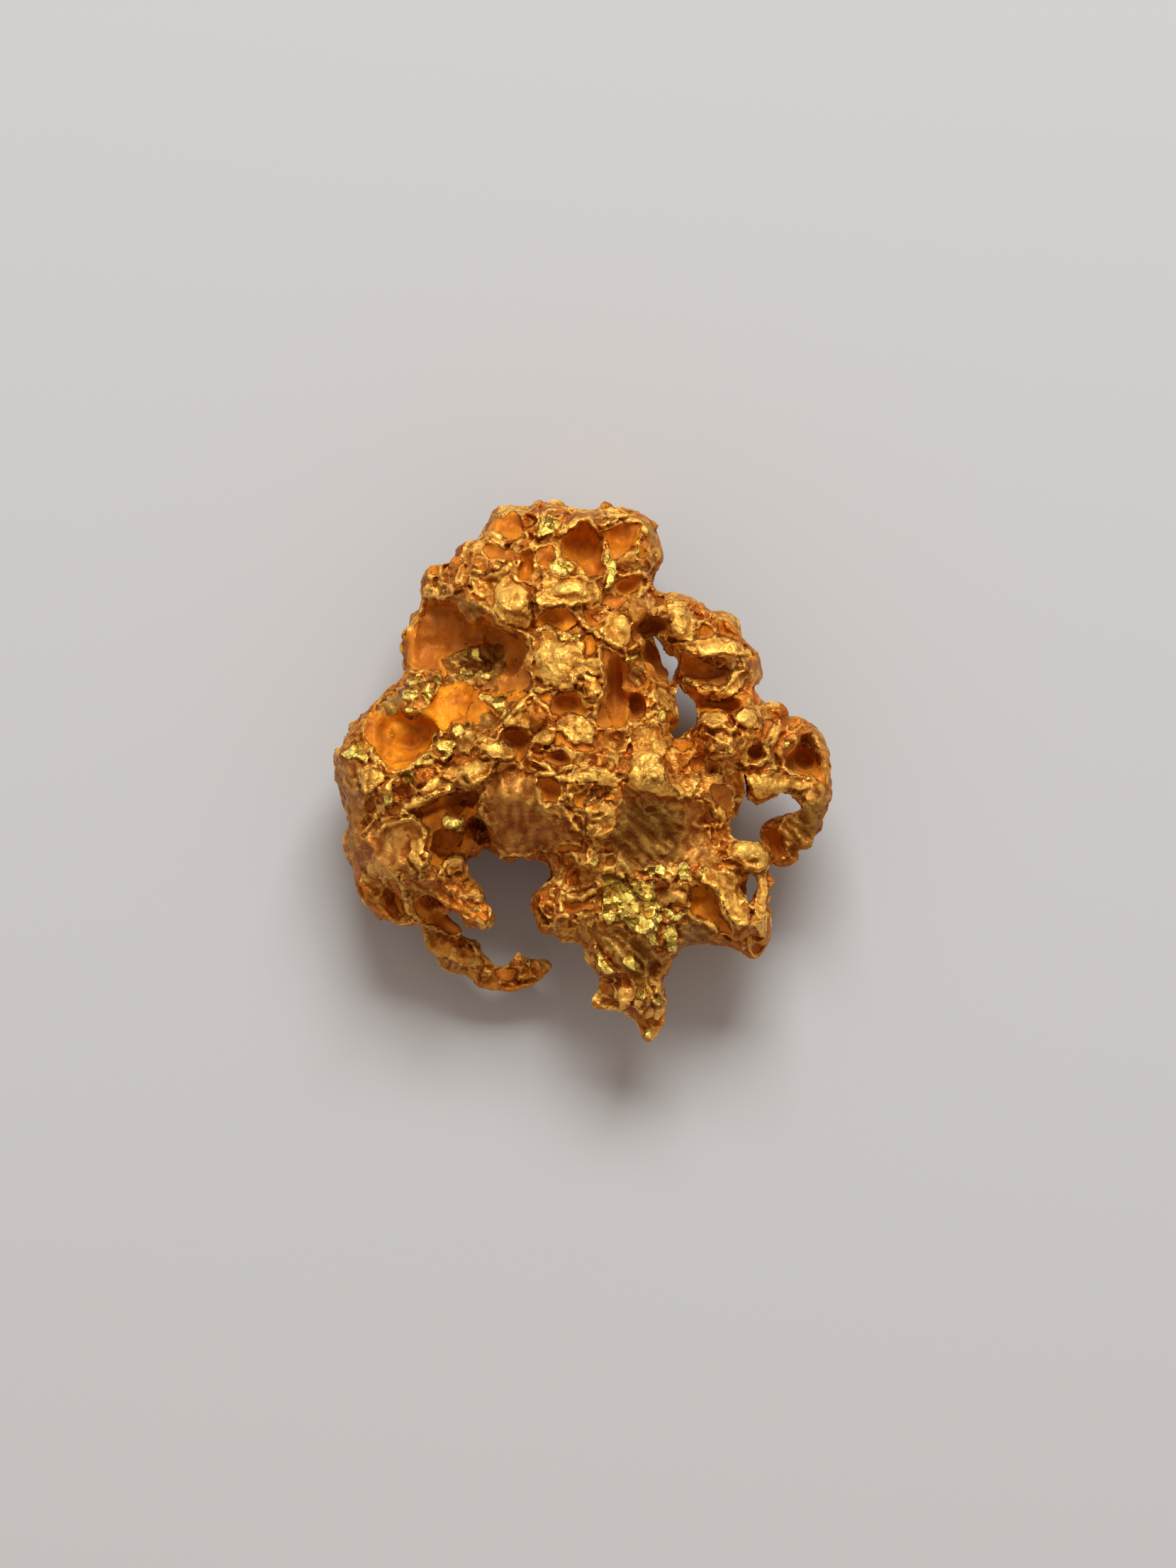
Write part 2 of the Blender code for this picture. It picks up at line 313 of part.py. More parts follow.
def add_grain(mesh, centre, radii, turn, dice, detail=2, roughness=0.0):
    """One rough ball, an icosphere stretched to its radii, added to the mesh."""
    ball = bmesh.new()
    bmesh.ops.create_icosphere(ball, subdivisions=detail, radius=1.0)
    axis = Vector((dice.uniform(-1, 1), dice.uniform(-1, 1), 1))
    tumble = Matrix.Rotation(dice.uniform(0, math.tau), 4, axis)
    spin = Matrix.Rotation(math.radians(turn), 4, "Z")
    place = Matrix.Translation(centre) @ spin @ Matrix.Diagonal((*radii, 1.0))
    for vertex in ball.verts:
        swell = 1 + roughness * dice.uniform(-1, 1)
        vertex.co = place @ ((tumble @ vertex.co) * swell)
    data = bpy.data.meshes.new("grain")
    ball.to_mesh(data)
    ball.free()
    mesh.from_mesh(data)
    bpy.data.meshes.remove(data)


def new_object(name, mesh, collection):
    data = bpy.data.meshes.new(name)
    mesh.to_mesh(data)
    mesh.free()
    thing = bpy.data.objects.new(name, data)
    collection.objects.link(thing)
    return thing


def bake(thing):
    """Replaces the mesh by what its modifiers make of it."""
    graph = bpy.context.evaluated_depsgraph_get()
    data = bpy.data.meshes.new_from_object(thing.evaluated_get(graph))
    thing.modifiers.clear()
    thing.data = data


def fuse(thing, smoothing=2):
    """Makes one even skin around everything in the object."""
    remesh = thing.modifiers.new("skin", "REMESH")
    remesh.mode = "VOXEL"
    remesh.voxel_size = VOXEL
    relax = thing.modifiers.new("relax", "SMOOTH")
    relax.factor = 0.5
    relax.iterations = smoothing
    bake(thing)


def fill_plan(mesh, plan, gaps, upper, lower, dice):
    """Packs grains between the upper and lower heights, smaller and thinner towards the edge."""
    places = plan_places(plan, gaps, GRAIN_PITCH, 0.16, 99.0, dice)
    places += plan_places(plan, gaps, EDGE_GRAIN_PITCH, 0.10, 0.42, dice)
    for x, y, distance in places:
        top = spot_height(x, y, upper)
        bottom = spot_height(x, y, lower)
        reach = min(distance / EDGE_ROUNDING, 1.0)
        fullness = math.sqrt(1 - (1 - reach) ** 2)
        half = max((top - bottom) / 2 * fullness, distance * 0.8)
        radius = min(distance * 1.04 + 0.06, LARGEST_GRAIN)
        centre = (x, y, (top + bottom) / 2)
        add_grain(mesh, centre, (radius, radius, half), 0.0, dice)


def add_thorn(mesh, base, point, base_radius, point_radius):
    """A blunt cone from base to point, added to the mesh."""
    run = Vector(point) - Vector(base)
    lie = run.to_track_quat("Z", "Y").to_matrix().to_4x4()
    place = Matrix.Translation((Vector(base) + Vector(point)) / 2) @ lie
    bmesh.ops.create_cone(mesh, cap_ends=True, segments=10, radius1=base_radius, radius2=point_radius,
                          depth=run.length, matrix=place)


def grow_body(collection, dice):
    mesh = bmesh.new()
    for thorn in THORNS:
        add_thorn(mesh, *thorn)
    fill_plan(mesh, MAIN_PLAN, GAPS, UPPER_SPOTS, LOWER_SPOTS, dice)
    fill_plan(mesh, LOW_ARM, [], ARM_UPPER_SPOTS, ARM_LOWER_SPOTS, dice)
    body = new_object("nugget", mesh, collection)
    fuse(body)
    return body


def surface_of(thing):
    return BVHTree.FromObject(thing, bpy.context.evaluated_depsgraph_get())


def height_on(surface, x, y):
    """Height of the upper face at a place, or None over a gap."""
    hit = surface.ray_cast(Vector((x, y, 50)), Vector((0, 0, -1)))
    return None if hit[0] is None else hit[0].z


def join_grains(thing, mesh):
    """Adds the grains to the object and fuses them with it."""
    mesh.from_mesh(thing.data)
    mesh.to_mesh(thing.data)
    mesh.free()
    fuse(thing, smoothing=1)


def raise_plates_and_rims(body, dice):
    surface = surface_of(body)
    mesh = bmesh.new()
    for x, y, length, width, turn, rise in RAISED:
        height = height_on(surface, x, y)
        if height is not None:
            add_grain(mesh, (x, y, height - 0.15), (length, width, rise + 0.15), turn, dice,
                      roughness=0.08)
    for thickness, points in RIMS:
        for (x0, y0), (x1, y1) in zip(points, points[1:]):
            count = max(2, round(math.dist((x0, y0), (x1, y1)) / (thickness * 0.7)))
            for step in range(count):
                share = step / count
                x = x0 + (x1 - x0) * share
                y = y0 + (y1 - y0) * share
                height = height_on(surface, x, y)
                if height is not None:
                    size = thickness * dice.uniform(0.85, 1.15)
                    add_grain(mesh, (x, y, height + size * 0.4), (size, size, size * 1.3), 0.0, dice,
                              detail=1)
    join_grains(body, mesh)


def seeded_places(body, flattest, steepest, count, dice):
    """Places on the skin whose normal's height is between the two, each with that normal."""
    faces = [face for face in body.data.polygons if flattest < face.normal.z < steepest]
    return [(face.center.copy(), face.normal.copy()) for face in dice.sample(faces, count)]


def add_lumps(body, dice):
    """Small lumps on the upper face, and larger ones low on the sides and the underside."""
    mesh = bmesh.new()
    places = [(place, 0.22, 0.5) for place in seeded_places(body, 0.4, 1.1, SMALL_LUMPS, dice)]
    places += [(place, 0.4, 0.85) for place in seeded_places(body, -1.1, -0.3, LOW_LUMPS, dice)]
    for (place, facing), smallest, largest in places:
        size = dice.uniform(smallest, largest)
        radii = [size * dice.uniform(0.6, 1.2) for _ in range(3)]
        add_grain(mesh, place - facing * size * 0.4, radii, dice.uniform(0, 180), dice, roughness=0.12)
    join_grains(body, mesh)


def swell_unevenly(body):
    """Swells and sinks the whole skin a little."""
    texture = bpy.data.textures.new("uneven", "CLOUDS")
    texture.noise_scale = 1.4
    texture.noise_depth = 2
    swell = body.modifiers.new("uneven", "DISPLACE")
    swell.texture = texture
    swell.texture_coords = "LOCAL"
    swell.strength = UNEVENNESS
    swell.mid_level = 0.5
    bake(body)


def add_gap_prisms(mesh):
    """An upright prism through each see-through gap, added to the mesh."""
    curve = bpy.data.curves.new("gaps", "CURVE")
    curve.dimensions = "2D"
    curve.fill_mode = "BOTH"
    curve.extrude = GAP_REACH
    for gap in GAPS:
        loop = curved_loop(gap)
        spline = curve.splines.new("POLY")
        spline.points.add(len(loop) - 1)
        spline.use_cyclic_u = True
        for point, (x, y) in zip(spline.points, loop):
            point.co = (x, y, 0, 1)
    drawn = bpy.data.objects.new("gap plan", curve)
    bpy.context.scene.collection.objects.link(drawn)
    bpy.context.view_layer.update()
    graph = bpy.context.evaluated_depsgraph_get()
    data = bpy.data.meshes.new_from_object(drawn.evaluated_get(graph))
    bpy.data.objects.remove(drawn)
    prisms = bmesh.new()
    prisms.from_mesh(data)
    bmesh.ops.remove_doubles(prisms, verts=prisms.verts, dist=0.0001)
    bmesh.ops.recalc_face_normals(prisms, faces=prisms.faces)
    prisms.to_mesh(data)
    prisms.free()
    mesh.from_mesh(data)
    bpy.data.meshes.remove(data)


def pit_cutter(body, collection, dice):
    """One closed solid that holds the shape of every pit, hollow and gap."""
    surface = surface_of(body)
    mesh = bmesh.new()
    for x, y, length, width, turn, depth in PITS:
        height = height_on(surface, x, y)
        if height is not None:
            add_grain(mesh, (x, y, height), (length, width, depth), turn, dice, roughness=0.06)
    for place, facing in seeded_places(body, -1.1, 0.1, LOW_PITS, dice):
        size = dice.uniform(0.3, 0.95)
        centre = place + facing * size * 0.35
        radii = [size * dice.uniform(0.6, 1.1) for _ in range(3)]
        add_grain(mesh, centre, radii, dice.uniform(0, 180), dice, roughness=0.12)
    add_gap_prisms(mesh)
    cutter = new_object("pits", mesh, collection)
    fuse(cutter, smoothing=0)
    cutter.hide_render = True
    cutter.display_type = "WIRE"
    return cutter


def cut(body, cutter):
    """Takes the cutter away. EXACT loses this many small overlapping pits, MANIFOLD keeps them."""
    tool = body.modifiers.new("cut", "BOOLEAN")
    tool.operation = "DIFFERENCE"
    tool.solver = "MANIFOLD"
    tool.object = cutter
    bake(body)


def keep_largest_piece(body):
    """Drops crumbs that the cutting has set loose, and any pocket sealed inside."""
    mesh = bmesh.new()
    mesh.from_mesh(body.data)
    mesh.verts.ensure_lookup_table()
    unseen = set(mesh.verts)
    pieces = []
    while unseen:
        start = unseen.pop()
        piece = {start}
        edge_of_piece = [start]
        while edge_of_piece:
            vertex = edge_of_piece.pop()
            for edge in vertex.link_edges:
                other = edge.other_vert(vertex)
                if other in unseen:
                    unseen.remove(other)
                    piece.add(other)
                    edge_of_piece.append(other)
        pieces.append(piece)
    pieces.sort(key=len)
    crumbs = [vertex for piece in pieces[:-1] for vertex in piece]
    bmesh.ops.delete(mesh, geom=crumbs, context="VERTS")
    mesh.to_mesh(body.data)
    mesh.free()


def thin_out(body):
    """Brings the skin down to its share of triangles."""
    faces = 2 * len(body.data.polygons)
    thin = body.modifiers.new("thin", "DECIMATE")
    thin.ratio = TRIANGLES / faces
    bake(body)


def grind_feet(body, collection):
    """Cuts the underside off level, FOOT_DEPTH above its lowest point."""
    lowest = min(vertex.co.z for vertex in body.data.vertices)
    middle = lowest + FOOT_DEPTH - GROUND_DEPTH / 2
    bpy.ops.mesh.primitive_cube_add(size=1, location=(0, 0, middle))
    ground = bpy.context.object
    ground.name = "ground"
    ground.scale = (GROUND_WIDTH, GROUND_WIDTH, GROUND_DEPTH)
    for home in list(ground.users_collection):
        home.objects.unlink(ground)
    collection.objects.link(ground)
    ground.hide_render = True
    ground.display_type = "WIRE"
    bpy.context.view_layer.update()
    cut(body, ground)


def bring_to_size(body):
    """Stands the nugget on its feet over the origin, at its size in metres."""
    points = np.array([vertex.co for vertex in body.data.vertices])
    low = points.min(axis=0)
    high = points.max(axis=0)
    base = Vector(((low[0] + high[0]) / 2, (low[1] + high[1]) / 2, low[2]))
    scale = np.array((WIDTH, LENGTH, HEIGHT)) / (high - low)
    body.data.transform(Matrix.Diagonal((*scale, 1.0)) @ Matrix.Translation(-base))


def gold():
    material = bpy.data.materials.new("natural gold")
    material.use_nodes = True
    shader = material.node_tree.nodes["Principled BSDF"]
    shader.inputs["Base Color"].default_value = GOLD_COLOUR
    shader.inputs["Metallic"].default_value = 1.0
    shader.inputs["Roughness"].default_value = GOLD_ROUGHNESS
    return material


def build_nugget():
    clear_scene()
    dice = random.Random(SEED)
    collection = bpy.data.collections.new("gold_nugget")
    cutters = bpy.data.collections.new("cutters")
    bpy.context.scene.collection.children.link(collection)
    bpy.context.scene.collection.children.link(cutters)
    body = grow_body(collection, dice)
    raise_plates_and_rims(body, dice)
    add_lumps(body, dice)
    swell_unevenly(body)
    cut(body, pit_cutter(body, cutters, dice))
    fuse(body, smoothing=1)
    keep_largest_piece(body)
    thin_out(body)
    grind_feet(body, cutters)
    keep_largest_piece(body)
    bring_to_size(body)
    body.data.materials.append(gold())


build_nugget()
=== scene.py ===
import math
import random

import bmesh
import bpy
import numpy as np
from mathutils import Matrix, Vector
from mathutils.bvhtree import BVHTree


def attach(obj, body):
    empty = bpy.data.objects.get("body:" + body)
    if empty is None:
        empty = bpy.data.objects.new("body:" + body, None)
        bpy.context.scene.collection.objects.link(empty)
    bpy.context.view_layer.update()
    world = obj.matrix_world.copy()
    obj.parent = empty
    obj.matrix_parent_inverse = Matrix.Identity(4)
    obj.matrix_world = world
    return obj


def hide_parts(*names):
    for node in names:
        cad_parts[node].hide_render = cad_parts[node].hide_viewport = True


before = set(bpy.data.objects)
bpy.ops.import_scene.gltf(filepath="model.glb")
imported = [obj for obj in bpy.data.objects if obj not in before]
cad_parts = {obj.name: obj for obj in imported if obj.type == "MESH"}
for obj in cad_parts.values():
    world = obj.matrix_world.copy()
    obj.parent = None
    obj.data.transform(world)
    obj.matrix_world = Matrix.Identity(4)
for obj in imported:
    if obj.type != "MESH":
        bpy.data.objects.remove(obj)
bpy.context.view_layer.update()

# The metal is worked at a thousand times its size, so that one unit is a millimetre.
MM = 0.001
SEED = 41
BLANK_VOXEL = 0.09
FINE_VOXEL = 0.068
TRIANGLES = 192000
FAR = 1e9

# Beads, and as many pits, are scattered over the sides and the underside, but not over the thin
# arm and the tip of the spike, which lie in front of THICK_FROM_Y.
BALLS = 420
THICK_FROM_Y = -6.9

# Of what stands higher than TALL, only a share is kept.
TALL = 9.3
TALL_SHARE = 0.6

# A hollow's floor comes near the deepest as the depth that is listed for it grows past the ease.
DEEPEST = 0.52
DEPTH_EASE = 0.9

# The maps of the upper face: half width, half length, the pitch of their cells, and the margin
# round a feature within which it is drawn.
MAP_HALF_X = 11.4
MAP_HALF_Y = 12.4
MAP_PITCH = 0.04
MARGIN = 0.6

# ==== Where things are on the upper face ====
# Millimetres from the middle of the nugget. A line or an outline is written as the x,y of its points.

# Broad hollows: depth, darkness (0 orange, 1 almost black; the dark is painted shade), outline. Their orange
# is partly stain and partly painted reflected light.
HOLLOWS = [
    (0.2, 0.1, "-6.2,3.3 -2.4,3.5 -2.9,2.9 -3.4,2.5 -4.1,1.9 -4.8,2 -5.6,2.2 -6.2,2.4"),
    # upper left hollow and left bowl
    (0.8, 0.6, "-7.4,6.3 -7,7.3 -6.3,7.5 -5.2,7.45 -4.5,7 -3.9,6.65 -3.4,6.3 -3.1,5.95 -2.7,5.75 -2.3,5.3 "
     "-2.35,4.5 -2.1,4 -2.2,3.5 -3,3.4 -3.8,3.5 -4.6,3.9 -5.4,3.9 -6,3.6 -6.3,4.3 -7.3,4.4 -7.75,5 "
     "-7.6,6"),
    (0.6, 0, "-9.1,2.9 -8.5,3.5 -7.9,3.6 -7.6,3 -7.5,2.4 -7,2.5 -6.4,3.2 -5.9,3.9 -5.3,4 -4.7,3.6 -4.6,3 "
     "-5,2.5 -5.6,2.2 -5.7,1.8 -6.2,1.6 -6.6,1 -6.9,0.55 -7.5,0.25 -8,0.1 -8.6,0.6 -8.95,1.1 -9.3,1.8"),
    # top lobe
    (1, 0.1, "-0.8,10.2 -0.5,10.6 0,10.8 0.5,10.4 0.75,10 0.8,9.5 0.75,9 0.55,8.4 0.2,8.5 -0.3,8.9 "
     "-0.9,9.1 -1,9.7"),
    (0.6, 0.1, "0.8,10.3 1.5,10.5 2.3,10.7 2.5,10.3 2.2,9.8 1.9,9.4 1.5,9.2 1.2,9.1 1.1,9.6 0.9,10"),
    (0.5, 0.25, "-4,10.6 -3.5,11 -3,11.2 -2.6,11 -2.5,10.3 -2.8,9.8 -3.4,10 -4.1,10.2"),
    (0.4, 0.45, "-4.2,9.7 -3.5,9.7 -2.9,9.4 -3.1,9.1 -3.7,9 -4.2,9.3"),
    (0.6, 0.15, "-2.6,9.4 -2.1,9.4 -2,9 -2.1,8.5 -2.5,8.2 -2.8,8.3 -2.7,8.9"),
    (0.4, 0.1, "-1.9,9.5 -1.3,9.6 -1.1,9 -1.4,8.6 -1.7,8.7 -1.9,9"),
    (1.3, 0.5, "0.1,8.9 0.4,9.3 0.8,9 0.85,8.5 0.6,8.2 0.1,8.5"),
    (0.8, 0.3, "1.5,8.3 2,8.5 2.7,8.4 2.6,8 2.2,7.6 1.5,7.5 1.3,7.9"),
    (0.9, 0.6, "0.7,7.1 1,7.5 1.6,7.5 1.9,7.4 1.6,6.9 1.2,6.9 0.8,7"),
    (0.5, 0.15, "-2.05,6.4 -1.9,6.9 -1.4,7.05 -0.6,7 -0.4,6.8 -0.2,6.5 -0.6,6.1 -1,6.05 -1.5,6.2 "
     "-1.9,6.2"),
    (0.6, 0.4, "0,6.9 0.35,6.8 0.5,6.5 1,6.3 1.2,6.2 0.8,6 0.4,6.1 0.1,6.4"),
    (0.3, 0.05, "0,5.8 0.5,5.9 0.65,5.5 0.6,5 0.1,5 0,5.4"),
    # right of the middle
    (1.5, 0.55, "0.75,5 1,5.2 1.5,4.9 2,4.6 2.2,4.2 2,3.7 2.1,3 2,2.3 1.6,1.9 0.8,2 0.5,2.3 0.7,2.8 "
     "0.85,3.4 0.9,4.2"),
    (2.3, 0.85, "1.8,3.6 2.4,3.6 2.5,3.1 2.65,2.7 2.3,2.1 2,2.3 1.9,2.9"),
    (1.7, 0.9, "2.05,6.3 2.6,6.4 3.1,6.7 3.6,6.5 3.7,6.1 3.5,5.8 3,5.8 2.5,5.7 2.1,5.6"),
    (2, 0.9, "2.6,5.6 3,5.6 3.3,5.1 3.6,4.5 3.7,4 3.3,3.9 2.8,4.2 2.4,4.9 2.5,5.3"),
    (0.8, 0.8, "2,5.35 2.4,5.2 2.3,4.9 2,5"),
    (0.5, 0.6, "2,4.7 2.4,4.9 2.9,4.2 2.9,3.7 2.4,3.5 1.9,3.7"),
    (1.2, 0.5, "4.1,5 4.6,5.1 5.2,5 5.8,4.5 6.3,4.4 6.1,3.9 5.6,3.6 5.2,3.7 4.8,3.7 4.4,3.8 4.1,4.2"),
    (1.7, 0.9, "5.2,4.3 5.8,4.5 6.3,4.35 6.1,3.9 5.6,3.65 5.2,3.8"),
    (1.3, 0.3, "4.3,3.6 4.6,3.75 5,3.5 5.5,3.2 5.9,3.05 6.5,3.2 6.9,3.3 6.9,2.7 6.5,2.7 5.8,2.6 5,2.5 "
     "4.8,2.9 4.6,3.1"),
    (0.6, 0.4, "4.75,5.7 4.85,6 5.1,6.2 5.5,6.2 5.5,5.8 5.1,5.65"),
    (0.6, 0.1, "5.65,6.5 6,6.4 6.5,6 6.5,5.8 6,5.75 5.7,5.9"),
    (0.5, 0.3, "3.4,2.6 4,2.4 3.9,2.1 3.6,2.1 3.5,2.4"),
    # middle
    (1, 0.45, "-3.5,1.6 -3.3,1.85 -2.8,1.95 -2.4,1.75 -2.2,1.3 -2.25,0.7 -2.6,0.5 -2.9,0.55 -3,1.1 "
     "-3.3,1.4"),
    (0.9, 0.3, "-1.35,3.2 -1.2,3.4 -0.3,3.4 -0.1,3.1 0.2,2.8 0.2,2.5 -0.5,2.5 -1,2.45 -1.3,2.6"),
    (0.45, 0.1, "-2,3.3 -1.4,3.5 -1.35,3.1 -1.9,3"),
    (0.9, 0.7, "-1.6,0.9 -1.2,0.95 -0.8,0.85 -0.5,0.5 -0.9,0.3 -1.3,0.4 -1.6,0.6"),
    (0.8, 0.35, "-1.9,-0.2 -1.2,-0.15 -1,-0.5 -1,-1 -1.2,-1.3 -1.7,-1.2 -1.8,-0.8"),
    (0.35, 0.1, "-1.5,1.9 -0.8,1.8 -0.8,1.5 -0.2,1.3 0.6,1.2 0.4,0.95 -0.3,0.95 -0.9,1.1 -1.3,1.3"),
    (0.4, 0.3, "-0.5,-1 0.1,-0.9 0.9,-0.75 0.9,-1 0.2,-1.1 0.1,-1.5 -0.3,-1.5"),
    (0.6, 0.7, "-0.45,-1.85 -0.1,-1.85 -0.05,-2.3 -0.3,-2.45 -0.5,-2.1"),
    (0.4, 0.8, "0.2,-2 0.6,-1.95 0.8,-2.1 0.5,-2.2"),
    (0.3, 0.3, "-1,-3.1 -0.4,-3 -0.1,-3.2 -0.4,-3.4 -0.9,-3.4"),
    # ear, hook and the right side
    (1.1, 0.35, "8.55,1 9,1.35 9.6,1 10,0.6 10.3,0.1 10.4,-0.4 10.2,-0.7 10,-0.3 9.5,-0.15 9.1,0 8.7,0.3 "
     "8.55,0.6"),
    (1.7, 0.8, "8.75,0.6 9.3,0.45 9.6,0.2 9.4,-0.05 9,0.1 8.7,0.4"),
    (0.3, 0.1, "9,2.3 9.2,2.4 9.4,2.2 9.1,1.9 8.9,1.8 8.7,2"),
    (0.8, 0.35, "7.75,-2.3 8.2,-2.1 8.55,-2 8.6,-2.6 8.6,-3.3 8.3,-3.6 7.95,-3.3 7.9,-2.9"),
    (0.9, 0.6, "7,1 7.5,1.1 7.75,0.9 7.6,0.5 7.1,0.5 6.95,0.7"),
    (0.4, 0.5, "7.6,2.2 8,2.2 8,1.9 7.8,1.6 7.6,1.9"),
    (1.3, 0.95, "5.2,0.5 5.8,0.4 5.8,0.1 5.6,-0.1 5.2,0"),
    (0.4, 0.2, "4.6,0.7 5.1,0.65 5.15,0.2 4.7,0.2"),
    (0.3, 0.1, "3.8,1.6 4.5,1.5 4.8,1.2 4.4,1 3.9,1.1"),
    (0.7, 0.5, "5.5,-0.4 6.2,-0.5 6.4,-1.2 6.2,-2 6,-2 5.9,-1.5 5.5,-0.9"),
    (1.1, 0.85, "5.1,-1.3 5.3,-1.4 5.6,-2 5.5,-2.2 5.2,-1.9"),
    (0.3, 0.5, "6.6,1.4 6.9,1.6 7,1.3 6.7,1.2"),
    # lower right and the spike
    (0.6, 0.7, "-1.2,-5 -1,-5 -0.95,-5.6 -1.2,-5.7"),
    (0.6, 0.55, "-0.85,-5.55 -0.2,-5.5 0.1,-5.6 0.4,-5.5 0.4,-5.9 -0.4,-6 -0.85,-6"),
    (0.5, 0.7, "-0.7,-5.1 -0.1,-5.1 0.5,-4.95 0.4,-4.85 -0.6,-5"),
    (0.35, 0.05, "4.7,-4.7 5.1,-4.7 5.5,-5.2 5.9,-5.6 6.1,-6.2 6.4,-6.5 6.3,-6.9 5.9,-6.8 5.6,-6.4 5,-6 "
     "4.6,-5.8 4.55,-5.2"),
    (0.8, 0.5, "6.6,-4.7 7.1,-4.5 7.1,-5.2 6.8,-5.3 6.5,-5"),
    (0.9, 0.9, "3,-4.7 3.6,-4.6 3.7,-4.9 3.2,-5.2 2.95,-5"),
    (0.5, 0.9, "3.3,-5.6 4.5,-5.7 4.4,-5.9 3.8,-5.8 3.3,-5.7"),
    (0.5, 0.7, "2.5,-5.65 2.9,-5.7 3,-6 2.7,-6.1 2.5,-5.9"),
    (0.5, 0.9, "1.05,-4.9 1.3,-5.1 1.4,-5.4 1.1,-5.4"),
    (0.4, 0.9, "1.2,-6.1 1.4,-6.4 2.2,-6.8 2.6,-6.9 2.2,-6.6 1.5,-6.2"),
    (0.4, 0.15, "2.1,-7 2.5,-7 2.8,-7.4 3.5,-7.4 3.4,-7.7 2.9,-7.6 2.3,-7.6 2.1,-7.4"),
    (0.9, 0.8, "2.7,-8.3 3,-8 3.4,-8.1 3.35,-8.6 2.95,-8.75 2.9,-9 2.7,-8.8"),
    (0.5, 0.9, "1.95,-8.45 2.45,-8.5 2.4,-8.8 2.3,-8.7"),
    (0.4, 0.7, "0.75,-8.7 1.05,-8.6 1.35,-8.9 1,-8.9 0.7,-8.9"),
    (0.5, 0.8, "0.7,-9.75 1.1,-9.6 1.4,-9.5 1.3,-9.8 0.9,-9.85"),
    (0.3, 0.4, "0.7,-9 1.3,-9 1.4,-9.5 0.9,-9.5"),
    (0.5, 0.8, "2.6,-9.6 2.7,-9.7 2.65,-10.1 2.55,-10"),
    # lower left
    (0.8, 0.8, "-9.3,-1.4 -9.1,-1.15 -8.8,-1.2 -8.8,-1.6 -9.2,-1.7 -9.3,-2.2"),
    (0.3, 0.7, "-9.5,-2.7 -9.1,-2.6 -9.3,-2.9"),
    (0.35, 0.3, "-7.4,-1.6 -6.8,-1.4 -6,-1 -5.2,-0.8 -4.3,-0.6 -3.9,-0.9 -4,-1.4 -4.5,-1.5 -4.5,-2.2 "
     "-4.6,-3 -4.9,-3.5 -5.6,-3.5 -6.1,-3.9 -6.6,-3.8 -6.4,-3.4 -6.9,-3.2 -6.8,-2.9 -6.5,-2.7 -6.7,-2.3 "
     "-7,-2.1 -6.9,-1.7"),
    (0.8, 0.75, "-9.5,-4.1 -9,-4.2 -8.6,-4.5 -8.6,-5.1 -8.9,-5.3 -9.3,-4.9 -9.4,-4.7"),
    (0.7, 0.5, "-8.6,-4.5 -8,-4.6 -7.8,-5.2 -7.6,-6 -7.8,-6.4 -8.3,-6.2 -8.9,-5.6 -8.6,-5.3"),
    (0.7, 0.5, "-7.3,-5.3 -6.8,-5.3 -6.2,-5.7 -5.5,-6.3 -4.9,-6.6 -4.6,-6.9 -5.3,-6.8 -6.2,-6.7 -6.9,-6.3 "
     "-7.2,-5.9"),
    (0.5, 0.6, "-6.6,-4.1 -6.3,-4.1 -6.3,-4.5 -6.6,-4.5"),
    (0.3, 0, "-4.8,-5.5 -4.1,-5.5 -3.9,-5.9 -4.1,-6.4 -4.5,-6.2 -4.8,-5.9")]
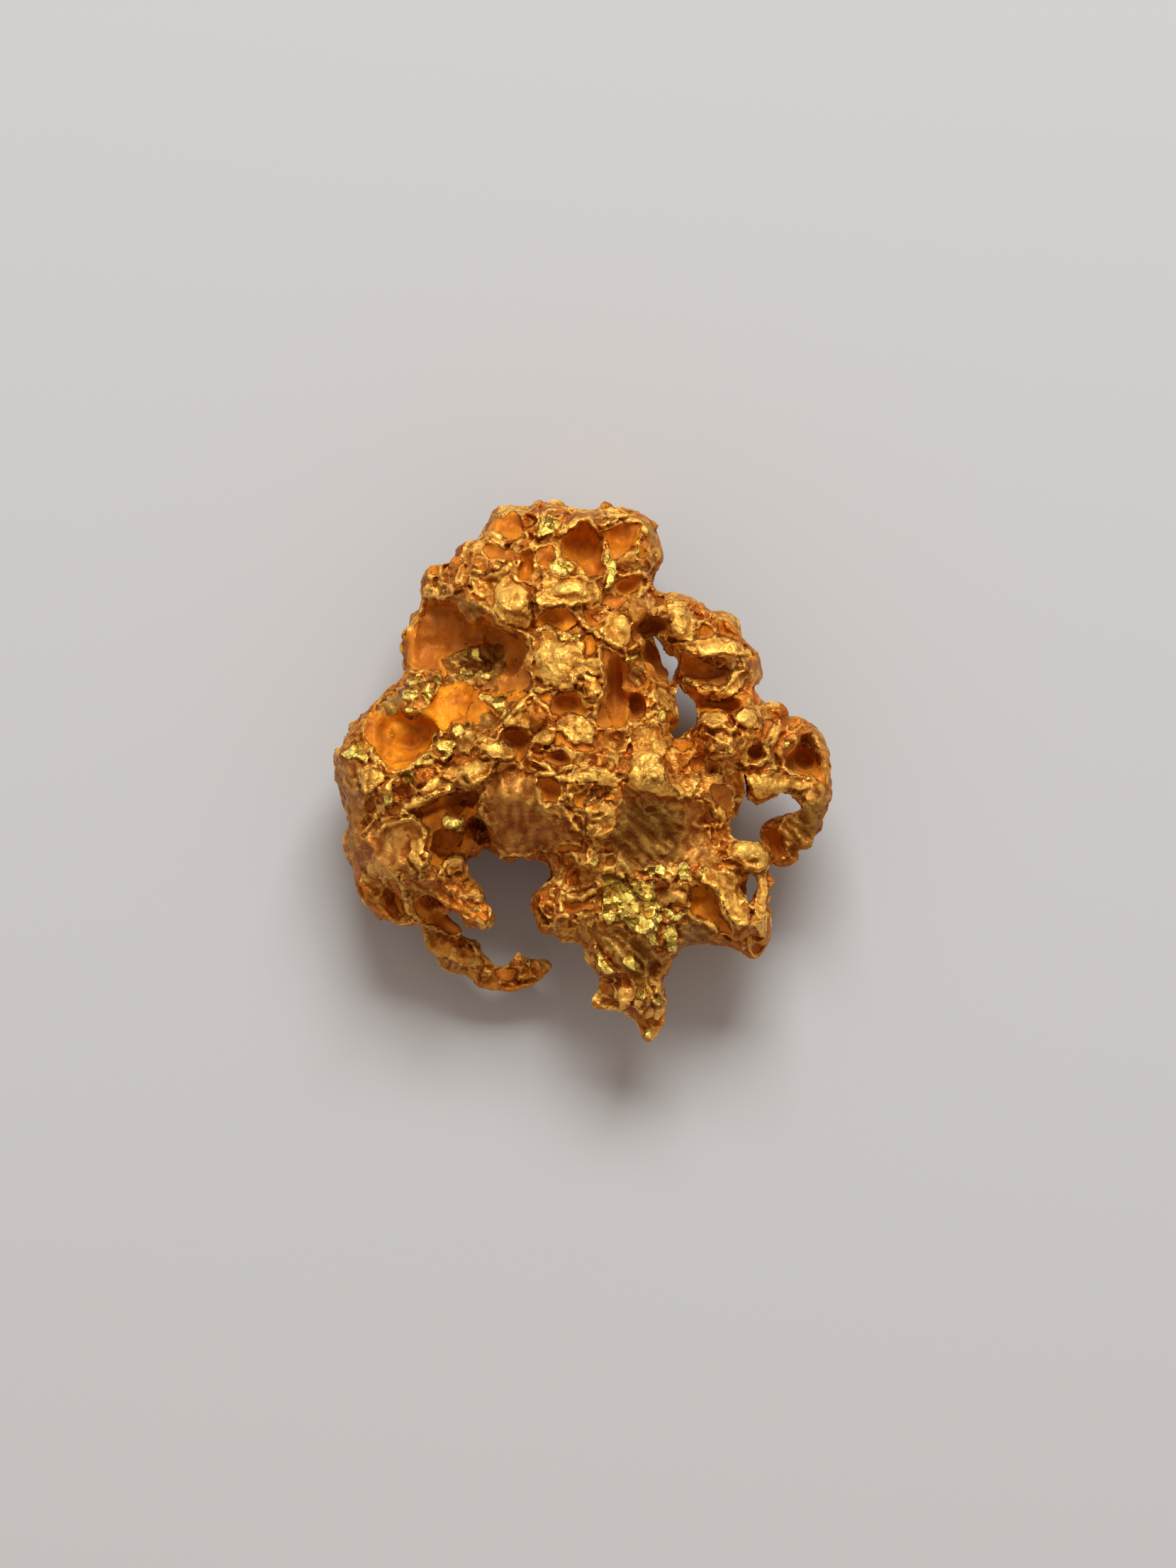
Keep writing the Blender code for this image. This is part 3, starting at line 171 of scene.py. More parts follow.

# Small pits: x, y, half length, half width, turn in degrees, depth, darkness (painted shade).
PITS = [
    (-6.35, 8.65, 0.3, 0.25, 30, 0.35, 0.1), (-5.4, 9.1, 0.3, 0.25, 0, 0.25, 0.2),
    (2.5, 9.4, 0.3, 0.32, 0, 0.4, 0.2), (-8.6, 2.85, 0.5, 0.3, 30, 0.3, 0.2),
    (-5.3, -1.4, 0.35, 0.25, 10, 1.6, 0.2), (-8, -1.5, 0.4, 0.25, 20, 0.4, 0.1),
    (-3.3, -8.7, 0.6, 0.3, 0, 0.4, 0.5), (-1.25, 11.05, 0.36, 0.13, 0, 0.7, 0.9),
    (-1.65, 9.85, 0.4, 0.13, 8, 0.5, 0.8), (-3.5, 8.8, 0.25, 0.12, 0, 0.5, 0.9),
    (-4.8, 9.7, 0.12, 0.12, 0, 0.4, 0.8), (-4.9, 8.2, 0.18, 0.18, 0, 0.5, 0.8),
    (-5.2, 7.65, 0.26, 0.09, 0, 0.4, 0.8), (-3.75, 8.2, 0.2, 0.08, 0, 0.3, 0.8),
    (-3.7, 7.75, 0.2, 0.08, 0, 0.3, 0.8), (-6.4, 7.45, 0.3, 0.15, 0, 0.5, 0.8),
    (-4.55, 5.72, 0.58, 0.2, 14, 2.4, 1), (-6.35, 4.6, 0.16, 0.16, 0, 1.7, 0.95),
    (-2.88, 4.95, 0.07, 0.3, 0, 1.6, 0.8), (4.05, 5.57, 0.22, 0.06, 0, 0.5, 0.9),
    (3.4, 6.75, 0.16, 0.1, 0, 0.5, 0.9), (7.1, 5.1, 0.3, 0.05, -10, 0.3, 0.8),
    (7.4, 4.1, 0.2, 0.06, 0, 0.4, 0.8), (3.7, 7.3, 0.25, 0.06, 0, 0.3, 0.8),
    (4.35, 7.3, 0.06, 0.15, 0, 0.3, 0.8), (0.02, 3.95, 0.16, 0.2, 0, 0.5, 0.9),
    (-1.8, 0.2, 0.26, 0.1, -20, 0.4, 0.8), (-0.5, -0.75, 0.2, 0.2, 0, 0.5, 0.7),
    (0.6, -0.75, 0.42, 0.12, 8, 0.4, 0.7), (2.9, -1.55, 0.5, 0.12, -4, 0.4, 0.8),
    (4.2, -1.9, 0.15, 0.12, 0, 0.3, 0.7), (8.9, -0.6, 0.12, 0.22, 0, 0.4, 0.8),
    (9.3, -1.25, 0.14, 0.14, 0, 0.5, 1), (10.25, -2, 0.09, 0.1, 0, 0.3, 0.9),
    (10.4, -1.35, 0.1, 0.2, 20, 0.3, 0.7), (5.65, -2.9, 0.16, 0.16, 0, 0.4, 0.6),
    (7.3, -3.75, 0.22, 0.1, 0, 0.3, 0.9), (-9.9, -0.4, 0.1, 0.36, 15, 0.4, 0.8),
    (-8.2, -1.7, 0.2, 0.07, 0, 0.3, 0.9), (-5.7, -2.9, 0.7, 0.45, 0, 1.2, 0.6),
    (-6.75, -3.2, 0.2, 0.16, 0, 1.1, 1), (-4.7, -1.2, 0.6, 0.2, 5, 1.2, 0.8),
    (7.4, -7.6, 0.3, 0.22, 0, 0.4, 0.7), (-9.2, -3.9, 0.12, 0.1, 0, 0.2, 0.7),
    (-7.65, -3.97, 0.1, 0.06, 0, 0.2, 0.9), (-8.9, -3.7, 0.06, 0.2, -20, 0.2, 0.7),
    (-4.75, -1.95, 0.2, 0.08, 40, 1.6, 0.9), (1.6, -0.1, 0.22, 0.1, 0, 0.3, 0.8),
    (3.3, 6.7, 0.2, 0.1, 30, 0.8, 0.9), (-5, -8, 0.08, 0.06, 0, 0.2, 0.8),
    (-5.45, -7.2, 0.06, 0.2, -20, 0.25, 0.7), (-8.97, 0.65, 0.05, 0.22, 5, 0.3, 1),
    (-9.05, -5.7, 0.12, 0.06, -40, 0.2, 1), (3, 2.7, 0.3, 0.08, -25, 0.4, 0.9),
    (-3, 0.35, 0.25, 0.07, -10, 0.3, 0.9), (-5.3, -0.3, 0.3, 0.08, 10, 0.4, 0.8)]

# Small plates and knobs that stand proud, in the same terms with their rise last.
KNOBS = [
    (0.45, 3.4, 0.42, 0.55, 0, 0.35), (-5.45, -2.15, 0.42, 0.34, -10, 0.6),
    (-5.4, -3.8, 0.36, 0.3, 60, 0.35), (-4.2, -1.05, 0.3, 0.34, 0, 0.45), (9.1, 1.5, 0.22, 0.2, 0, 0.4),
    (8.75, 1.2, 0.16, 0.16, 0, 0.35), (9.65, 1.7, 0.26, 0.12, 20, 0.3), (-0.4, 0.75, 0.2, 0.3, -20, 0.3),
    (-1.4, 1.45, 0.3, 0.2, 30, 0.3), (3.9, 3.9, 0.25, 0.12, 5, 0.3), (2.1, 4.85, 0.36, 0.1, 0, 0.5),
    (2.55, 5.4, 0.12, 0.35, -10, 0.6), (-3, 2.4, 0.4, 0.45, -40, 0.25), (7.1, -3.2, 0.7, 0.5, 0, 0.2),
    (5.75, 1.2, 0.6, 0.5, 0, 0.25), (5.2, 2.1, 0.6, 0.35, 10, 0.25), (6.8, 2.4, 0.5, 0.35, 0, 0.25),
    (8.1, 1.5, 0.3, 0.5, -15, 0.3), (-2.9, 7.4, 0.7, 0.6, -20, 0.2), (-0.5, 7.8, 0.8, 0.35, 0, 0.25),
    (4.1, 6.4, 0.35, 0.6, 0, 0.25), (1.6, 6.3, 0.3, 0.4, 0, 0.3), (-3.9, 1.05, 0.6, 0.3, -5, 0.25),
    (-4.8, 0.1, 0.6, 0.3, 10, 0.25), (-6.5, -0.5, 0.5, 0.35, 25, 0.25), (-1.9, -5.7, 0.3, 0.55, 5, 0.3),
    (0.2, -3.9, 0.5, 0.25, -15, 0.3), (0.5, -3.3, 0.3, 0.4, 10, 0.25), (1.6, -7.9, 0.25, 0.6, 28, 0.3),
    (3.2, -9.1, 0.22, 0.2, 0, 0.2)]

# Thin lips and crests: thickness, then the points that they pass through.
LIPS = [
    # top lobe
    (0.11, "-0.75,10.25 -0.5,10.55 -0.2,10.8 0.15,10.75 0.45,10.5 0.7,10.35"),
    (0.1, "0.7,11.15 1.2,11.2 1.7,11.2"),
    (0.12, "0.75,10.65 1.2,10.7 1.6,10.75"),
    (0.1, "1.9,10.75 2.3,10.8 2.6,10.55 2.7,10.2"),
    (0.1, "-4.3,10.15 -3.9,10.2 -3.5,10.05"),
    (0.1, "-2.1,10.1 -1.7,10.35 -1.4,10.6"),
    # upper left
    (0.13, "-4.5,7.25 -3.8,6.85 -3.35,6.35 -3,6 -2.4,5.8 -2.1,5.4"),
    (0.1, "-6.75,7.4 -6.95,6.95 -7.1,6.6 -7.4,6.1"),
    (0.1, "-4.6,8.6 -4.2,8.4 -3.6,8.4 -3.2,8.6"),
    (0.1, "-6,8 -5.6,8 -5.5,7.6 -5.9,7.55"),
    # below the top lobe
    (0.11, "-0.35,6.8 -0.1,6.35 0.3,6.05 0.8,6.05 1.15,6.35"),
    (0.11, "-1.9,7.1 -1.3,7.15 -0.7,7.1 -0.1,7.2 0.3,7.4"),
    (0.1, "-1.8,8.3 -1.3,8.4 -0.6,8.35 0.1,8.25 0.5,8.1"),
    (0.11, "1.5,8.5 2,8.45 2.7,8.45 2.9,8.2"),
    (0.09, "2.4,7.5 2.6,7.85 2.9,8.15"),
    (0.1, "0.7,5.9 1.2,5.5 1.8,5.2 2.3,5.35"),
    (0.11, "0.75,5.1 0.85,4.6 0.8,4 0.9,3.4 0.75,2.8 0.6,2.5"),
    # middle
    (0.1, "-0.4,4.2 -0.15,4.2 0.15,4.05 0.4,4"),
    (0.1, "-2,3.55 -1.2,3.65 -0.5,3.6 -0.3,4.1"),
    (0.09, "-1.9,3.05 -1.5,2.85 -1.35,2.6"),
    (0.09, "-3.85,1.7 -3.4,2.1 -2.9,2.6 -2.5,3.1 -2.1,3.4"),
    (0.09, "-4.6,1.55 -4,1.55 -3.6,1.5 -3.3,1.9"),
    (0.1, "-4.9,1 -4.5,1.4 -3.9,1.4 -3.3,1.2 -2.95,0.7 -3.4,0.55 -4.2,0.65"),
    (0.1, "-2.15,0.65 -1.7,0.45 -1.3,0.15"),
    (0.1, "-2,-0.05 -1.6,-0.05 -1.2,0.05 -0.8,-0.1"),
    (0.09, "-1.95,-0.3 -1.9,-0.8 -1.75,-1.3"),
    # left
    (0.12, "-7.4,-1.35 -6.9,-1.15 -6.2,-0.95 -5.6,-0.75 -5.55,-0.4 -5.3,-0.2 -4.9,-0.45 -4.6,-0.5 "
     "-4.2,-0.25 -3.9,0.1"),
    (0.11, "-8.5,-2.3 -7.9,-2 -7.2,-1.8 -6.9,-2.2 -6.6,-2.7 -6.95,-2.9 -6.8,-3.3 -6.6,-3.6 -7,-4 "
     "-6.9,-4.5 -6.6,-4.75 -6.3,-4.5"),
    (0.1, "-5.95,-4.2 -5.7,-3.7 -5.3,-3.5 -5.05,-3.9 -5.15,-4.2"),
    (0.1, "-7.5,0.2 -7,0.5 -6.6,0.8 -6.2,0.7 -5.8,0.5"),
    (0.1, "-9.1,-1 -9.4,-0.6 -9.3,0 -8.9,0.2"),
    (0.1, "-9.4,-2.5 -9,-2.2 -8.7,-1.8"),
    # below the middle
    (0.09, "0.15,-1.2 0.45,-1.05 0.75,-1.25 0.6,-1.5 0.25,-1.6 0.4,-1.85 0.95,-1.75"),
    (0.09, "0.2,-2.3 0.5,-2.2 0.75,-2.35 0.6,-2.6"),
    (0.09, "1.1,-2 1.35,-2.1 1.35,-2.4 1.1,-2.5"),
    (0.1, "-1.6,-1.4 -1.1,-1.4 -0.7,-1.5 -0.6,-1.9 -0.3,-2.35 0.1,-2.6"),
    (0.1, "-0.4,-3.4 -0.1,-3.8 0.2,-3.75 0.35,-3.4"),
    (0.1, "-3.25,-3.65 -2.9,-3.5 -2.5,-3.5 -2.3,-3.4 -1.9,-3.25 -1.5,-3.3 -1.4,-3.1"),
    # right arm
    (0.12, "4.3,3.95 4.7,3.9 5,3.55 5.4,3.4 5.8,3.5 6.2,3.9 6.5,4.35 6.9,4.4"),
    (0.1, "3.7,6.8 4,6.9 4.4,6.7 4.7,6.4 5.4,6.3 5.55,6.1"),
    (0.1, "3.7,5.45 4.3,5.5 5,5.7 5.8,5.8 6.5,5.6"),
    (0.1, "5,2.3 5.3,2 5.9,2 6.3,1.7 6.5,1.9"),
    (0.1, "5.1,1.6 5.6,1.3 6.2,1.2 6.5,0.8 6,0.6 5.5,0.65"),
    (0.1, "6.8,0.4 7.2,0.45 7.8,0.6 7.75,1.1 7.9,1.5 8.1,2"),
    # hook and right plate
    (0.11, "8.6,0.2 8.9,-0.05 9.4,-0.15 9.9,-0.25 10.15,-0.6 10.1,-1.2"),
    (0.1, "8.45,-2.3 8.55,-1.95 8.9,-1.75 9.2,-1.65"),
    (0.1, "5.2,-1 5.5,-1.2 5.6,-1.6 5.9,-1.9 5.8,-2.3"),
    (0.1, "4.7,-2.2 4.9,-2.35 5.3,-2.35 5.5,-2.7"),
    (0.16, "5,-4.25 5.5,-4.8 5.9,-5.55 6.2,-6.1 6.6,-6.45 7.1,-6.4"),
    (0.12, "5.9,-4.05 6.4,-4.55 6.7,-5.1 7.1,-5.55 7.6,-6.4"),
    (0.1, "7.6,-4.2 7.65,-4.8 7.7,-5.5"),
    (0.1, "6,-3.5 6.6,-3.4 7,-3.9 7.6,-3.9"),
    (0.12, "4.5,-5.9 4.9,-6.2 5.4,-6.4 5.8,-6.8"),
    # spike
    (0.1, "-0.95,-5.1 -0.6,-5.35 0,-5.35 0.5,-5.1"),
    (0.1, "-0.9,-5.9 -1,-5.5 -0.95,-5.15"),
    (0.1, "-1.7,-6.5 -1.2,-6.5 -1,-6.1 -0.6,-6.2"),
    (0.1, "0.5,-7.4 0.7,-7.9 0.75,-8.4"),
    (0.1, "1,-7.9 1.15,-8.3 1.5,-8.5"),
    (0.1, "1.7,-8.5 2.1,-9 2.4,-9.6 2.2,-10 2.4,-10.4"),
    (0.09, "2.65,-8 2.6,-8.6 2.8,-9.1 3,-9.8"),
    # thin arm and finger
    (0.09, "-5.4,-7 -5.5,-7.5"),
    (0.09, "-5,-7 -4.6,-7.4 -4.5,-7.6"),
    (0.1, "-7.9,-4.6 -7.6,-5.4 -7.4,-6 -6.9,-6.3"),
    (0.09, "-6.5,-5.1 -5.5,-5.8 -4.8,-6.3 -4.1,-6.6")]

# Patches of crumpled foil, painted as bright glints and shaded shards: x, y, half length, half width, turn in
# degrees.
FOIL = [
    (-1.4, 10.45, 0.45, 0.3, 20), (-1.2, 8.85, 0.08, 0.3, -20), (-0.75, 8.75, 0.35, 0.2, -20),
    (2.3, 9.4, 0.15, 0.15, 0), (-3, 9, 0.12, 0.1, 0), (-3.85, 1.95, 0.08, 0.4, -48),
    (-3.3, -0.4, 0.4, 0.25, 0), (-2.9, -0.95, 0.25, 0.16, 0), (1.2, -0.5, 0.16, 0.3, 0),
    (8.75, 1.2, 0.15, 0.15, 0), (3.2, -4, 0.36, 0.3, 20), (5.4, -4.3, 0.4, 0.26, -30),
    (-2.4, -8.2, 0.12, 0.2, -20), (-3.5, -3, 0.2, 0.3, 15), (-1.7, -3.4, 0.3, 0.08, 10),
    (0.5, -3.7, 0.2, 0.25, 0), (2.8, -11.1, 0.15, 0.15, 0)]

# Smooth, worn flanks, in the same terms; their brown colour is painted shade.
SMOOTH = [
    (-2.3, -2.2, 1.6, 1.1, -10), (3.4, -2.6, 1.7, 1.2, 0), (-10.1, -1, 0.5, 2.5, 8),
    (-8.6, -3.4, 1.2, 0.9, 10), (4.9, -6.8, 0.9, 0.6, 0), (10.2, 0.6, 0.5, 1.6, 10),
    (9.3, -2.4, 0.9, 0.8, 40), (2.7, -0.2, 0.8, 1, 25), (-5.6, -5.4, 1.3, 0.5, -30),
    (-6, -7.4, 1, 0.6, -30), (3.1, 10.2, 0.5, 1.2, 10), (-3.6, 10.6, 0.7, 0.5, 20),
    (0.6, -7.2, 0.6, 0.5, 0), (7.6, 4.6, 0.3, 0.8, 0)]

# Flat patches: finish, height above the skin, outline. Brown and olive ones fade out at the edge; brown is
# painted shade.
PATCHES = [
    # upper left hollow and left bowl
    ("olive", 0, "-5.3,7.4 -4.6,7.3 -4.3,6.8 -4.7,6.5 -5.2,6.8"),
    ("olive", 0, "-5.2,5.2 -4,5.6 -3.5,5.4 -3.3,4.7 -3.85,4 -3.5,3.6 -3.9,3.4 -4.2,3.8 -5.4,3.9 -5.9,3.7 "
     "-5.75,4.4 -5.9,4.8"),
    ("olive", 0, "-4.4,2.5 -3.9,2.6 -3.4,2.3 -3.9,1.8 -4.4,1.9"),
    ("olive", 0, "-8.7,3.1 -8.2,3.4 -7.7,3.3 -7.8,2.8 -8.3,2.5 -8.7,2.7"),
    ("olive", 0, "-5.5,1.4 -5.2,1.65 -4.6,1.65 -4.9,1.2 -5.3,1"),
    ("foil", 0.12, "-5.1,5.2 -4.8,5.25 -4.5,5.4 -4.4,5 -4.15,4.7 -4.75,4.8 -5.1,4.7"),
    ("foil", 0.14, "-5.1,4.6 -4.9,4.45 -4.55,4.4 -4.6,4.2 -5,4.2 -5.25,4 -5.3,4.3"),
    ("foil", 0.12, "-4.5,4.3 -4.3,4.3 -4,4.2 -4.1,3.95 -4.4,4.05 -4.6,4"),
    ("foil", 0.14, "-4.25,3.3 -3.7,3.2 -3.1,3.3 -3.25,2.9 -3.2,2.5 -3.5,2.7 -4,2.95 -4.25,3.1"),
    ("foil", 0.12, "-6.4,4.2 -6.1,4.4 -6,4 -5.85,3.65 -6.2,3.8 -6.4,4"),
    ("foil", 0.1, "-7.65,4.05 -6.7,4.05 -6.6,3.85 -7.3,3.75"),
    ("foil", 0.12, "-7.65,3.55 -7.1,3.65 -6.95,3.35 -7.3,3.1 -7.6,3.25"),
    ("foil", 0.1, "-6.9,3.65 -6.5,3.8 -6.4,3.25 -6.6,2.9 -6.8,3.25"),
    ("foil", 0.1, "-7.75,2.6 -7.1,2.75 -6.95,2.6 -7.4,2.45"),
    ("foil", 0.12, "-5.55,1.95 -5.2,2.15 -4.75,2.3 -4.7,2 -5.1,1.7 -5.4,1.65"),
    ("foil", 0.12, "-6.5,1.2 -6.1,1.4 -5.4,1.5 -5.5,1.1 -5.5,0.8 -5.85,0.5 -5.85,0.9 -6.2,1.1"),
    ("foil", 0.12, "-7.2,0.4 -6.5,0.75 -6.1,0.55 -6.4,0.35 -6.9,0.3"),
    ("foil", 0.12, "-7.45,0.1 -7.1,0.2 -7.2,-0.1 -7.4,-0.4 -7.7,-0.15"),
    ("foil", 0.08, "-10.25,0.9 -9.9,1.1 -9.65,1.35 -9.25,1 -9,0.7 -9.1,0.4 -9.6,0.6 -10.2,0.6"),
    ("olive", 0, "2,4.6 2.6,4.6 2.8,4 2.4,3.8 2,3.9"),
    # crumpled foil of the spike, one sheet below its raised shards
    ("foil", 0.04, "0.9,-4.4 2,-4.5 3,-4.6 3.4,-5.6 3.2,-6.7 2.6,-6.8 1.5,-6.4 0.8,-6.1 0.9,-5.2"),
    ("olive", 0, "1,-6.6 2,-6.8 3,-7.2 3.4,-7.8 3.2,-8.8 2,-8.9 1.2,-8.2"),
    # body below the top lobe
    ("pale", 0.12, "-1.77,8.3 -0.57,8.35 0.13,8.3 0.63,8 0.7,7.6 0.49,7.2 -0.57,7.13 -1.84,7.15 "
     "-1.98,7.45 -1.7,7.8"),
    ("pale", 0.1, "-4.73,8.28 -4.1,8.43 -3.2,8.5 -2.95,8.1 -2.4,7.8 -2.2,7.6 -2.2,6.3 -2.5,6.1 -2.9,6.1 "
     "-3.6,6.75 -4.1,7.45 -4.65,7.58"),
    ("pale", 0.08, "-2.2,5.82 -1.56,5.96 -1.13,6.03 -0.9,5.6 0,5.6 0.13,4.83 0.7,4.83 0.9,4 0.06,4.27 "
     "-0.22,4.1 -0.43,3.64 -1.56,3.78 -2.1,4.2 -1.9,4.83 -2.15,5.3"),
    ("foil", 0.12, "-0.92,5.75 -0.7,6 -0.08,5.93 -0.3,5.57 -0.64,5.6"),
    ("foil", 0.14, "0.9,9.35 1.25,9.25 1.45,8.7 1.25,8 0.95,7.6 1,8.2 0.95,8.8"),
    ("pale", 0.08, "1,6.3 1.1,6.8 1.4,6.95 1.85,6.6 2,6.1 1.95,5.6 1.35,5.2 1,5.45"),
    ("gold", 0.1, "2.05,7.5 2.9,7.5 3.1,7.2 3,6.75 2.4,6.3 2.1,6.5 2,7"),
    # right arm, and the plates beside the middle gap
    ("pale", 0.1, "3.65,6.9 4,7 4.6,6.9 4.9,6.5 4.7,6.1 4.7,5.65 3.8,5.7 3.75,6.3"),
    ("pale", 0.12, "3.8,5.45 4.4,5.6 5.9,5.8 6.5,5.7 6.9,5.3 7.2,5 6.5,5.05 5.1,5.1 4.8,5.25 3.9,5.2"),
    ("pale", 0.12, "6.4,4.4 6.9,4.4 7,4 6.6,3.5 6.1,3.25 5.6,3.1 5.55,3.3 6,3.6 6.3,4"),
    ("pale", 0.1, "2.7,3.3 2.9,3.5 3.4,3.5 3.9,3.2 4,2.8 3.8,2.6 3,3"),
    ("pale", 0.1, "5,2.4 5.4,2.6 6.1,2.6 6.2,2.2 5.4,1.9 5.1,2"),
    ("pale", 0.1, "6.5,2.4 6.8,2.7 7.4,2.6 7.5,2.2 7.2,1.9 6.5,2"),
    ("pale", 0.14, "2.1,1.8 2.7,2.05 2.9,2.25 3.3,1.7 3.6,1 3.3,0.4 3.7,-0.4 4.4,-0.8 4.35,-1.1 3.2,-1 "
     "1.9,-0.5 2.1,0.3"),
    ("foil", 0.1, "1.8,4.95 2.4,4.95 2.4,4.8 1.8,4.75"),
    ("foil", 0.12, "4.1,4.05 4.45,4.1 4.5,3.9 4.2,3.85"),
    ("foil", 0.12, "3.15,2.4 3.35,2.6 3.55,2.3 3.3,2.1"),
    # hook, right plate and the worn ground beside it, whose brown is painted shade
    ("pale", 0.1, "7.1,-0.1 8,0.1 8.8,-0.1 10,-0.3 10,-0.6 9.3,-0.8 8.8,-0.6 8.2,-0.85 7.6,-1.05 "
     "7.25,-0.95 7.1,-0.5"),
    ("olive", 0, "9.2,-0.9 10.1,-0.6 10.4,-1.1 9.9,-2.8 9.3,-3.4 8.6,-2.6 8.7,-2 9.2,-1.7"),
    ("pale", 0.12, "6.7,-2.9 7.3,-2.8 7.8,-3.1 7.9,-3.7 7.6,-4.1 7,-4.1 6.2,-3.6 6.1,-3.2"),
    ("pale", 0.05, "7.5,-4.2 7.85,-4.4 7.9,-7 7.6,-7 7.2,-6.3 7.35,-5.6 7.5,-4.9"),
    ("pale", 0.14, "5.2,-4 5.6,-3.9 6.4,-4.6 7,-5.6 7.1,-6.2 6.9,-6.5 6.5,-6.4 5.8,-5.2 5.3,-4.7 5,-4.4"),
    ("pale", 0.1, "3.5,-0.1 5,0 5,-0.4 4.7,-0.9 4.2,-1 3.8,-0.5"),
    ("brown", 0, "4.2,-1.3 5,-1.2 5,-2.3 5.5,-3.3 5.4,-3.9 4.6,-3.8 4.1,-3.2"),
    ("olive", 0, "1.6,-1.2 3.2,-1.2 4.2,-1.6 4.2,-3.6 3,-4.1 1.2,-4.2 1.2,-3.2"),
    ("foil", 0.1, "4,-4.1 4.3,-3.7 4.6,-4 4.6,-4.4 4.1,-4.5"),
    ("foil", 0.1, "2.6,-4 3,-3.8 3.4,-4 3.4,-4.4 2.9,-4.4"),
    ("olive", 0.08, "3.2,-5 4.2,-4.9 4.6,-5.1 4.5,-5.4 3.3,-5.6"),
    ("olive", 0.1, "4.1,-6.7 4.6,-6.2 5.2,-6.4 5.5,-7 5.2,-7.3 4.4,-7.4 4.1,-7.2"),
    # left side
    ("brown", 0, "-10.4,0.5 -9.9,0.4 -9.6,0.2 -9.8,-0.6 -9.4,-1.2 -9.6,-3 -9,-4 -9.9,-4 -10.3,-1.5"),
    ("pale", 0.1, "-9.6,0.1 -9.1,0.3 -8.6,0.2 -8.5,-0.4 -9.2,-1 -9.5,-0.8"),
    ("foil", 0.12, "-8.4,-1 -8.1,-0.9 -8.1,-1.4 -8.3,-1.4"),
    ("pale", 0.1, "-6.7,-0.4 -6.3,-0.1 -6,-0.6 -6.2,-0.9 -6.8,-1 -7,-0.8"),
    ("pale", 0.14, "-5.9,0 -5.5,0.4 -4.6,0.5 -3.8,0.45 -4.2,-0.3 -4.6,-0.5 -5.1,-0.05 -5.5,-0.1"),
    ("pale", 0.14, "-4.4,1.2 -3.8,1.3 -3.2,1.1 -3,0.6 -3.5,0.5 -4.4,0.9"),
    ("brown", 0.06, "-8.6,-2.3 -7.9,-2 -7.2,-2.4 -7.4,-3.9 -8.2,-4.4 -9,-4.1 -9,-3"),
    ("pale", 0.1, "-7.9,-1.9 -7.2,-1.8 -6.5,-2.8 -7,-3.4 -6.7,-3.9 -7.1,-4.1 -7.4,-3.4 -7.3,-2.5"),
    ("pale", 0.1, "-5.9,-3.8 -5.5,-3.5 -5.1,-3.6 -5.1,-4.2 -5.6,-4.4"),
    ("foil", 0.14, "-6,-1.8 -5.7,-1.8 -5.4,-2 -5.1,-1.8 -5.2,-2.6 -5.5,-2.6 -5.9,-2.3"),
    # shards and scales of the spike
    ("foil", 0.12, "1,-4.5 1.4,-4.4 1.8,-4.9 1.6,-5 1.2,-4.8"),
    ("foil", 0.14, "2,-4.6 2.5,-4.5 2.8,-4.7 3.1,-5.2 2.9,-5.4 2.5,-5.4 2.1,-4.9"),
    ("foil", 0.12, "1.4,-5.6 1.7,-5.4 2.3,-5.45 2.4,-5.75 2,-5.9 1.5,-5.8"),
    ("foil", 0.1, "0.8,-6.1 1.1,-5.9 1.3,-6.1 1.35,-6.3 1.1,-6.4"),
    ("foil", 0.16, "1.45,-5.95 2.4,-6 3,-6.3 3,-6.6 2.6,-6.8 1.8,-6.5"),
    ("foil", 0.14, "3.3,-5.7 3.6,-5.75 3.9,-6 4.5,-5.9 4.2,-6.3 3.9,-6.35 3.4,-6.1"),
    ("foil", 0.14, "3.5,-6.4 3.9,-6.45 3.95,-7 4,-7.7 3.7,-7.6 3.4,-6.7"),
    ("foil", 0.1, "2.6,-6.85 3.1,-6.75 3.2,-7.1 3.4,-7.4 3.1,-7.4 2.9,-7.2"),
    ("foil", 0.1, "0.55,-7.5 0.7,-7.4 1,-8.1 1.4,-8.5 0.8,-8.5 0.7,-8.1"),
    ("foil", 0.14, "1.7,-7.8 2,-7.6 2.4,-8.1 2.5,-8.5 2.1,-8.4 1.8,-8.2"),
    ("foil", 0.1, "2.3,-9 2.6,-9.1 2.6,-9.5 2.4,-9.7 2.3,-9.4"),
    ("gold", 0.06, "1.5,-8.6 1.9,-8.6 2.2,-9.1 2.2,-9.6 2.1,-10 1.6,-10.1 1.6,-9.4"),
    ("foil", 0.08, "3,-9.7 3.2,-9.6 3.4,-9.9 3.1,-10"),
    ("pale", 0.08, "2.9,-8.8 3.3,-8.8 3.45,-9.3 3.3,-9.5 3,-9.2"),
    ("olive", 0.04, "1,-7 1.5,-6.9 2,-7.2 1.9,-7.55 1.4,-7.7 1,-7.5"),
    # middle
    ("pale", 0.1, "-1.1,2.2 0.1,2.5 0.4,2 0.4,1.3 0,1.2 -0.6,1.4 -1.1,1.9"),
    ("pale", 0.1, "-3.2,2.3 -2.4,2.5 -2.2,1.9 -2.7,1.9 -3.3,2"),
    ("pale", 0.1, "-2.3,1.4 -1.8,1.8 -1.2,2.1 -1.3,1.2 -1.7,1.2"),
    ("pale", 0.1, "0.2,-1.2 1.3,-1.1 1.5,-2.1 1.1,-2.8 0.3,-2.7 0.1,-2.5"),
    ("pale", 0.12, "-1.1,0 0.1,0.25 1,0.25 1.6,-0.2 1.3,-0.6 0.3,-0.4 -1,-0.3"),
    ("pale", 0.1, "-1.7,-1.45 -0.5,-1.5 -0.15,-2.4 -0.6,-2.5 -0.7,-1.9 -1.5,-1.8"),
